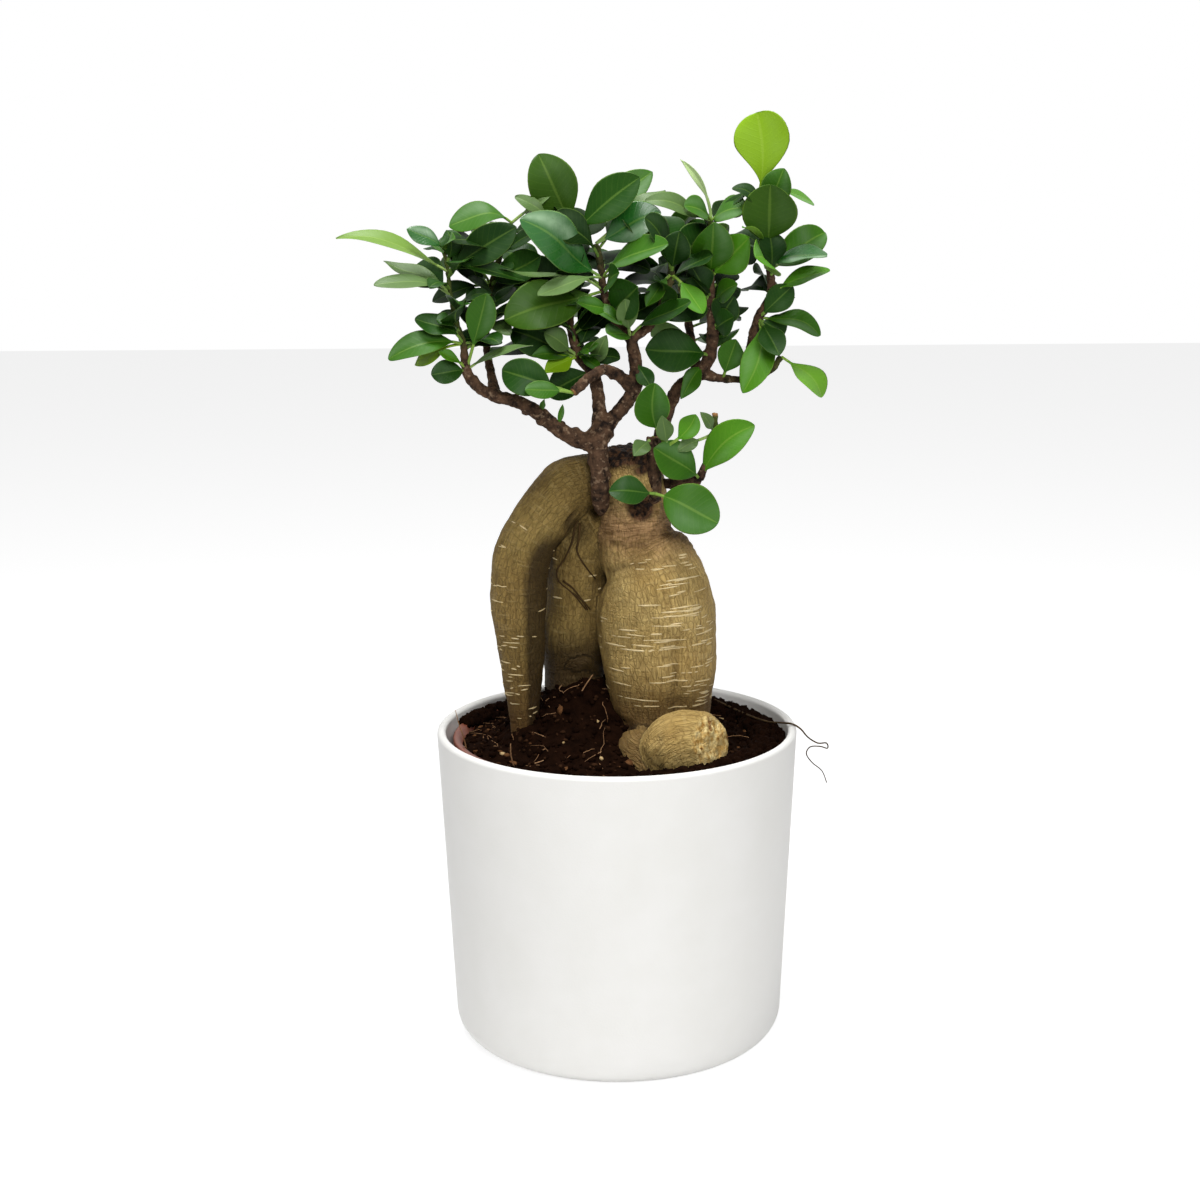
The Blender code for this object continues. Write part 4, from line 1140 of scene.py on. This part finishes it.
leaf_shoots([
    ("left_limb", (-58, -11, 283), [
        (-28, -8, -5, 10.5, 0, -1, 1, 5, 0, .14, "oval", "mid"),
        (-18, -4, 10, 9.5, 0, -0.8, 1, 3, 0, .2, "oval", "dark"),
        (-19, 2, -8, 9, 0, -0.8, 1, 2, 0, .3, "oval", "young"),
    ]),
    ("left_end", (-57, -12, 273), [
        (-13, -6, -1, 8, 0, -1, 0.4, 1, 0, .14, "round", "dark"),
        (9, -12, 30, 9.8, 0, -1, 0.2, -2, 0, .32, "oval", "mid"),
        (26, -6, 10, 6, 0, -0.4, 1, 2, 0, .14, "lance", "grey"),
        (-10, -6, 8, 5, 0, -0.8, 1, 1, 0, .3, "lance", "fresh"),
    ]),
    ("left_shoot", (-63, -5, 301), [
        (-28, -12, 5, 8, 0, -0.6, 1, 4, 0, .14, "oval", "grey"),
        (-26, 6, 13, 7, 0, -0.5, 1, 2, 0, .14, "lance", "grey"),
    ]),
    ("left_crown", (-64, -3, 310), [
        (-42, -4, 13, 9, 0, -0.5, 1, 5, 0, .1, "lance", "sage"),
        (27, -5, 17, 12, 0, -1, 0.3, 2, 0, .12, "oval", "deep"),
    ]),
    ("left_peak", (-65, -2, 318), [
        (-14, -5, 8.5, 6.5, 0, -1, 0.7, 2, 0, .14, "oval", "teal"),
        (5, -12, 5, 6, 0, -1, 0.7, 1, 0, .2, "lance", "mid"),
    ]),
    ("back_left", (-48, 8, 304), [
        (-20, 14, 6, 15, 0, 0.3, 1, 3, 0, .14, "oval", "dark"),
        (20, -12, 12, 11, 0, -1, 0.4, 1, 0, .14, "oval", "dark"),
        (-23, -2, -6, 10, 0, -0.7, 1, 2, 0, .25, "oval", "deep"),
        (-25, -8, 18, 5, 0, -0.3, 1, 2, 0, .2, "lance", "mid"),
    ]),
    ("back_left_low", (-50, 8, 292), [
        (10, -16, -6, 6, 0, -1, 0.6, 1, 0, .3, "oval", "grey"),
        (-6, 20, 4, 12, 0, 0.8, 0.7, 3, 0, .2, "oval", "dark"),
    ]),
    ("back_left_rise", (-44, 7, 316), [
        (14, -6, 8, 8, 0, -0.8, 1, 1, 0, .2, "oval", "deep"),
        (-12, 15, 8, 12, 0, 0.7, 1, 2, 0, .2, "oval", "mid"),
    ]),
    ("back_left_top", (-39.5, 6, 328), [
        (-24, -4, -1, 13, 0, -0.8, 1, 5, 0, .1, "oval", "mid"),
        (15, -2, 10, 2.5, 0, -1, 0.6, 1, 0, .3, "lance", "grey"),
    ]),
])


# Leaves of the middle: the crown over the trunk, with the largest leaves, and the small ones
# around the pruned stub and the forks.
leaf_shoots([
    ("middle", (-15, 5, 324), [
        (-14, 2, 30, 16, 0, -1, 0.2, 0, 0, .14, "oval", "olive"),
        (25, -9, 21, 14.5, -0.3, -1, 0.5, 2, 0, .14, "oval", "dark"),
        (30, 8, 23, 12, -0.2, -1, 0.6, 3, 0, .14, "oval", "mid"),
        (-23, -2, 14, 5, 0, -1, 0.6, 1, 0, .5, "oval", "grey"),
    ]),
    ("middle_low", (-17, 4, 300), [
        (-22, -4, 4, 8, 0, -0.8, 1, 1, 0, .3, "lance", "deep"),
        (-42, -14, 13, 8, 0, -0.6, 1, 1, 0, .4, "lance", "dark"),
        (20, -16, -10, 6, 0, -0.6, 1, 1, 0, .3, "lance", "mid"),
    ]),
    ("middle_base", (-14, -1, 277), [
        (-18, -8, 1, 7, 0, -0.8, 1, 1, 0, .2, "lance", "mid"),
        (-13, -10, -5, 7, 0, -1, 0.6, 1, 0, .2, "lance", "young"),
        (-13, -8, 10, 8, 0, -1, 0.6, 1, 0, .3, "oval", "grey"),
        (-26, 2, 10, 13, 0, -1, 0.4, 1, 0, .3, "round", "deep"),
        (8, -12, 6, 4, 0, -1, 0.6, 1, 0, .2, "lance", "mid"),
        (4, -12, 2, 4, 0, -1, 0.6, 1, 0, .2, "lance", "fresh"),
        (9, -10, -4, 4, 0, -1, 0.6, 1, 0, .2, "lance", "mid"),
    ]),
    ("middle_bend", (-17, 2, 288), [
        (-6, -14, 3, 6, 0, -1, 0.6, 1, 0, .3, "oval", "mid"),
    ]),
    ("behind", (-24, 31, 303), [
        (-24, 8, 3, 15, 0, 0.4, 1, 3, 0, .14, "oval", "dark"),
        (4, 24, 4, 15, 0, 0.6, 1, 3, 0, .14, "oval", "dark"),
    ]),
    ("behind_low", (-20, 21, 291), [
        (-20, 12, -3, 13, 0, 0.7, 0.8, 3, 0, .16, "oval", "mid"),
        (14, 18, -2, 12, 0, 0.8, 0.8, 3, 0, .16, "oval", "dark"),
    ]),
    ("behind_top", (-24, 37, 315), [
        (-12, 14, 14, 14, 0, 0.6, 1, 3, 0, .14, "oval", "dark"),
        (14, 2, 16, 12, 0, 0.4, 1, 3, 0, .16, "oval", "mid"),
    ]),
    ("heart_top", (-7, 3, 320), [
        (25, -3, 12, 13, 0, -1, 0.5, 2, 0, .14, "oval", "teal"),
        (27, 4, 20, 6, 0, -0.7, 1, 2, 0, .3, "lance", "grey"),
    ]),
    ("heart", (-4.5, 1.5, 307), [
        (-31, -16, 23, 18, 0.1, -1, 0.7, 2, 0, .12, "oval", "teal"),
        (25, -18, 13.5, 14, 0, -0.8, 1, 3, 0, .14, "oval", "mid"),
        (-24, -24, -5, 8, 0, -0.8, 1, 2, 0, .14, "spoon", "grey"),
    ]),
    ("heart_mid", (-4, 1, 302), [
        (-38, -13, -10, 17.5, 0.1, -1, 0.6, 2, 0, .14, "oval", "olive"),
        (-37, -10, 9, 4, 0, -0.3, 1, 2, 0, .2, "lance", "grey"),
        (6, -18, 8, 10, 0, -1, 0.5, 1, 0, .2, "oval", "dark"),
    ]),
    ("heart_low", (-1, 0, 293), [
        (10, -20, 12, 14, 0, -1, 0.3, 1, 0, .14, "oval", "dark"),
        (-13, -14, 6, 7, 0, -1, 0.7, 1, 0, .2, "oval", "mid"),
    ]),
    ("heart_fork", (6, -3, 284), [
        (23, -14, 15, 10, 0, -0.8, 1, 2, 0, .25, "oval", "dark"),
        (-9, -10, 3, 9, 0, -0.8, 1, 1, 0, .15, "round", "mid"),
        (-2, -12, 16, 7, 0, -1, 0.4, 1, 0, .3, "oval", "grey"),
    ]),
    ("heart_base", (-9, -4, 272), [
        (6, -6, 14, 6, 0, -1, 0.4, 1, 0, .2, "lance", "grey"),
        (-17, 4, -10, 11, 0, -1, 0.5, 1, 0, .1, "oval", "deep"),
    ]),
    ("heart_twig", (8, -5, 275), [
        (6, -6, -9, 6, 0, -1, 0.3, 1, 0, .2, "oval", "dark"),
    ]),
    ("stub", (-16, -20, 265), [
        (-27, 2, 8.5, 12, 0, -1, 0.2, 1, 0, .32, "round", "dark"),
        (-18, -6, 2, 6.5, 0, -1, 0.6, 1, 0, .3, "round", "mid"),
    ]),
    ("limb_bud", (-29, -12, 256), [
        (2, -3, 6, 2, 0, -1, 0.6, 0, 0, .2, "lance", "mid"),
    ]),
    ("limb_bud_low", (-22, -11, 250), [
        (2, -3, 10, 2, 0, -1, 0.6, 0, 0, .2, "lance", "mid"),
    ]),
    ("fork", (22, 1, 308), [
        (12, -12, -14, 8, 0, -0.8, 1, 2, 0, .3, "oval", "fresh"),
        (-10, -16, -11, 6, 0, -0.8, 1, 1, 0, .2, "lance", "mid"),
        (3, -8, 17, 10, 0, -1, 0.4, 1, 0, .2, "oval", "deep"),
    ]),
    ("fork_top", (22, 2, 318), [
        (-10, -2, 12, 9, 0, -1, 0.4, 1, 0, .3, "round", "deep"),
        (-4, 16, 12, 13, 0, 0.6, 1, 2, 0, .2, "oval", "dark"),
    ]),
])


# Leaves of the right stem: the fresh growth with the tall yellow-green top leaf, and the shoots
# that lean back behind the trunk.
leaf_shoots([
    ("right_low", (38, 18, 275), [
        (-26, -14, 4, 15, 0, -1, 0.4, 2, 0, .14, "oval", "dark"),
        (8, 22, 6, 14, 0.2, 0.7, 1, 3, 0, .14, "oval", "mid"),
    ]),
    ("right_fork", (35.5, 18, 271.5), [
        (-9.5, -14, -12, 6.5, 0.3, -1, 0.3, 1, -1, .08, "lance", "mid"),
    ]),
    ("right_stub", (39, 18, 285), [
        (8, -8, 14, 10, 0, -1, 0.4, 1, 0, .2, "oval", "deep"),
        (8, -8, 6, 10, 0, -1, 0.4, 1, 0, .2, "oval", "dark"),
    ]),
    ("right_inner", (38, 17, 296), [
        (-8, -8, 15, 10, 0, -1, 0.4, 1, 0, .2, "oval", "deep"),
        (10, -12, 8, 8, 0, -1, 0.5, 1, 0, .2, "oval", "mid"),
    ]),
    ("right_mid", (38, 16, 306), [
        (0, -20, 22, 14, 0, -1, 0.3, 1, 0, .14, "oval", "mid"),
        (14, -16, 16, 13, 0.2, -1, 0.4, 1, 0, .14, "oval", "fresh"),
    ]),
    ("right_top", (38, 12, 328), [
        (13, -8, 5, 13, -0.1, -0.8, 1, 2, 0, .14, "round", "mid"),
        (-26, -10, 8, 7.5, -0.2, -1, 0.8, 3, 0, .14, "oval", "grey"),
        (-12, 4, 23.5, 2.6, -0.6, -1, 0.5, 2, -3.5, .3, "lance", "pale"),
        (14, -4, 11, 4, 0, -0.8, 1, 1, 0, .2, "lance", "dark"),
        (-11, -9, 6, 10, 0, -0.9, 0.8, 2, 0, .2, "oval", "mid"),
    ]),
    ("back", (24, 41, 303), [
        (-22, 12, 6, 15, 0, 0.6, 1, 3, 0, .14, "oval", "dark"),
        (6, 16, -8, 12, 0, 0.8, 0.7, 3, 0, .16, "oval", "dark"),
    ]),
    ("back_top", (22, 44, 315), [
        (-8, 16, 14, 13, 0, 0.6, 1, 3, 0, .14, "oval", "mid"),
        (12, -4, 16, 12, 0, 0.3, 1, 2, 0, .16, "oval", "dark"),
    ]),
    ("back_right", (41, 46, 309), [
        (18, 14, 3, 14, 0.2, 0.5, 1, 3, 0, .14, "oval", "dark"),
        (6, 8, 16, 12, 0.2, 0.6, 1, 2, 0, .16, "oval", "mid"),
    ]),
    ("back_low", (31, 27, 279), [
        (-16, 14, 2, 12, 0, 0.8, 0.8, 3, 0, .16, "oval", "mid"),
        (16, 16, -2, 12, 0.2, 0.8, 0.8, 3, 0, .16, "oval", "dark"),
    ]),
    ("right_end", (66, 12, 275), [
        (15, -10, -15, 13, 0.4, -0.6, 0.8, 3, 0, .14, "spoon", "bright"),
    ]),
    ("right_rise", (57, 17, 290), [
        (-7, -16, -28, 11, -0.2, -1, 0.4, 2, 4, .14, "oval", "fresh"),
        (24, -4, -7, 10, 0.1, -0.7, 1, 4, 0, .14, "oval", "mid"),
        (13, -6, 13, 9, 0.2, -1, 0.3, 1, 0, .2, "oval", "dark"),
        (10, -2, -7, 10, 0.2, -1, 0.2, 1, 0, .2, "round", "dark"),
        (7, -20, -13, 9, 0, -1, 0.5, 1, 0, .25, "oval", "dark"),
    ]),
    ("right_branch", (43, 17, 266), [
        (5, -6, 16, 9, 0, -1, 0.3, 1, 0, .2, "oval", "mid"),
    ]),
    ("right_bend", (62, 15, 299), [
        (22, -8, 10, 9, 0, -0.7, 1, 2, 0, .2, "oval", "fresh"),
        (-6, 14, 8, 12, 0, 0.8, 0.8, 2, 0, .2, "oval", "dark"),
    ]),
    ("right_shoulder", (61, 13, 309), [
        (-7, -22, 6, 14, 0, -1, 0.5, 1, 0, .14, "round", "fresh"),
        (21, -14, 6, 12, 0.1, -0.6, 1, 3, 0, .14, "oval", "teal"),
        (22, 6, 14, 12, 0, -1, 0.6, 1, 0, .14, "round", "mid"),
    ]),
    ("right_neck", (60, 11, 319), [
        (0, -10, 23, 18, 0, -1, 0.2, 2, 0, .12, "round", "olive"),
        (-11, -16, 7, 5, 0, -0.3, 1, 1, 0, .2, "lance", "fresh"),
    ]),
    ("right_high", (58.5, 9, 329), [
        (7, -4, 19, 10, 0, -1, 0.4, 1, 0, .2, "oval", "mid"),
    ]),
    ("right_crown", (56.3, 8, 338.5), [
        (-1.3, 1, 30.5, 18, 0, -1, 0.1, 1, -1.8, .08, "paddle", "young"),
        (21.7, 5, -4.5, 8, 0, -0.5, 1, 3, 0, .3, "spoon", "fresh"),
    ]),
])


# Low leaves: the pair at the wound, the two-toned leaf over the sawn stem, and the small new
# leaves and tips of the low twig.
leaf_shoots([
    ("bud", (15.5, -15, 225), [
        (24, -7, -10.5, 16.8, 0.1, -1, 0.4, 3, 0, .14, "round", "mid"),
        (-18, -6, 2, 9.8, 0, -1, 0.5, 2, 0, .14, "oval", "dark"),
    ]),
    ("sprout", (20, -10, 243), [
        (-4.5, -5, 25, 11.5, -0.1, -1, 0.2, 1, 3, .32, "folded", "mid"),
        (-2, -10, 13, 6, 0, -1, 0.5, 1, 0, .2, "lance", "grey"),
        (11, -6, 13, 7.5, 0, -1, 0.5, 1, -2, .35, "oval", "fresh"),
    ]),
    ("cut_tip", (15, -6, 246), [
        (-8, -10, -6, 6, 0, -1, 0.5, 1, 0, .3, "lance", "grey"),
    ]),
    ("twig", (33, -5, 229), [
        (21, -7, 22, 12, -0.3, -1, 0.4, 2, 3, .1, "oval", "fresh"),
        (-18, -10, 14, 13, 0, -1, 0.5, 2, 0, .14, "oval", "mid"),
    ]),
    ("twig_top", (39, -3, 247), [
        (-6, -6, 9, 4, 0, -1, 0.5, 1, 0, .2, "lance", "grey"),
        (-15, -8, -6, 5, 0, -1, 0.5, 1, 0, .45, "lance", "grey"),
    ]),
])


# Inner leaves: the older foliage up each shoot, behind the leaves above, in dark tones that are
# partly their own older green and partly painted shade for the inside of the canopy. They grow in
# turn round the shoot, a bit more than a third of a turn apart.
left_rise, left_back = FRONT_STEM[1][7:], FRONT_STEM[2]
inner_leaves("inner_leaves_left", left_rise, 7, 41, "deep", (0.1, 0.4), length=(14, 21))
inner_leaves("inner_leaves_left_front", left_rise, 7, 52, "dark", (0.3, -0.9), 0.2, (12, 17))
inner_leaves("inner_leaves_left_back", left_back, 9, 42, "shade", (0.3, 0.4), 0.3)
inner_leaves("inner_leaves_left_back_front", left_back[1:], 8, 53, "deep", (0, -0.9), 0.1, (12, 17))
inner_leaves("inner_leaves_middle", FRONT_STEM[3][4:], 9, 43, "shade", (-0.2, 1.0), 0.2)
inner_leaves("inner_leaves_middle_front", FRONT_STEM[3][4:], 7, 54, "deep", (0, -0.9), 0.1, (9, 14))
inner_leaves("inner_leaves_middle_low", FRONT_STEM[3][3:7], 8, 51, "deep", (0.2, 0.1), 0.0, (11, 17))
inner_leaves("inner_leaves_behind", FRONT_STEM[4], 6, 44, "deep", (0, 0.5), 0.4)
inner_leaves("inner_leaves_heart", FRONT_STEM[6][5:], 9, 45, "shade", (0.1, 0.5), 0.2)
inner_leaves("inner_leaves_fork", FRONT_STEM[7], 10, 46, "deep", (0.1, 0.4), 0.3)
inner_leaves("inner_leaves_right", RIGHT_STEM[0][6:], 9, 47, "shade", (0, 0.9), 0.1, (14, 21))
inner_leaves("inner_leaves_right_back", RIGHT_STEM[2], 6, 48, "deep", (0, 0.5), 0.4)
inner_leaves("inner_leaves_right_far", RIGHT_STEM[3], 5, 49, "dark", (0.3, 0.5), 0.3)
inner_leaves("inner_leaves_right_rise", RIGHT_STEM[5][2:], 8, 50, "deep", (-0.3, 0.8), 0.1, (14, 21))


# Studio: a pale floor and backdrop, soft light all round with a large lamp over the front right,
# and the camera a little above the pot's rim, looking slightly down.
FLOOR_HALF_SIZE = 3.0
FLOOR_GLOW, FLOOR_GLOW_SHARE, ROOM_LIGHT = 1.38, 0.62, 0.88


def white_for_the_camera(tree, shader, strength, share):
    """Where the camera, a reflection or a clear body looks, most of the surface is plain white."""
    path = add_node(tree, "LightPath").outputs
    seen = maths(tree, "MAXIMUM", path["Is Camera Ray"], path["Is Glossy Ray"])
    seen = maths(tree, "MAXIMUM", seen, path["Is Transmission Ray"])
    glow = add_node(tree, "Emission", {"Color": (1, 1, 1, 1), "Strength": strength})
    mixed = add_node(tree, "MixShader", {0: times(tree, seen, share),
                                         1: shader, 2: glow.outputs[0]})
    return mixed.outputs[0]


floor_paint, tree, shader, where = new_material("floor_paint", Roughness=0.9)
shader.inputs["Base Color"].default_value = (0.86, 0.86, 0.86, 1)
shader.inputs["Specular IOR Level"].default_value = 0.0
tree.links.new(white_for_the_camera(tree, shader.outputs[0], FLOOR_GLOW, FLOOR_GLOW_SHARE),
               tree.nodes["Material Output"].inputs["Surface"])
bm = bmesh.new()
bmesh.ops.create_grid(bm, x_segments=2, y_segments=2, size=FLOOR_HALF_SIZE)
floor = loose_object("studio_floor", bm)
floor.data.materials.append(floor_paint)

world = bpy.data.worlds.new("studio_light")
bpy.context.scene.world = world
world.use_nodes = True
tree = world.node_tree
background = tree.nodes["Background"]
background.inputs["Strength"].default_value = ROOM_LIGHT
tree.links.new(white_for_the_camera(tree, background.outputs[0], 1.0, 1.0),
               tree.nodes["World Output"].inputs["Surface"])


def soft_lamp(name, spot, aim, size, power):
    lamp = bpy.data.lights.new(name, "AREA")
    lamp.size, lamp.energy = size, power
    obj = bpy.data.objects.new(name, lamp)
    obj.location = spot
    obj.rotation_euler = (Vector(aim) - Vector(spot)).to_track_quat("-Z", "Y").to_euler()
    bpy.context.scene.collection.objects.link(obj)


soft_lamp("front_lamp", (0.25, -1.2, 0.9), aim=(0, 0, 0.15), size=0.6, power=11.0)
soft_lamp("overhead_lamp", (-0.15, -0.1, 1.3), aim=(0, 0, 0.25), size=0.5, power=16.0)

CAMERA_SPOT, CAMERA_LENS, CAMERA_SENSOR = (0.0, -0.8, 0.3553), 61.5, 36.0
CAMERA_PITCH, CAMERA_YAW, CAMERA_ROLL = 12.377, -0.459, -0.44
CAMERA_NEAR, CAMERA_FAR = 0.01, 50.0
pitch, yaw, roll = (math.radians(angle) for angle in (CAMERA_PITCH, CAMERA_YAW, CAMERA_ROLL))
ahead = Vector((math.sin(yaw) * math.cos(pitch), math.cos(yaw) * math.cos(pitch), -math.sin(pitch)))
right = ahead.cross(Vector((0, 0, 1))).normalized()
upward = right.cross(ahead)
right, upward = (right * math.cos(roll) + upward * math.sin(roll),
                 upward * math.cos(roll) - right * math.sin(roll))
lens = bpy.data.cameras.new("camera")
lens.lens, lens.sensor_width = CAMERA_LENS, CAMERA_SENSOR
lens.clip_start, lens.clip_end = CAMERA_NEAR, CAMERA_FAR
camera = bpy.data.objects.new("camera", lens)
camera.matrix_world = Matrix.Translation(CAMERA_SPOT) @ Matrix(
    (right, upward, -ahead)).transposed().to_4x4()
bpy.context.scene.collection.objects.link(camera)
bpy.context.scene.camera = camera

bpy.context.view_layer.update()
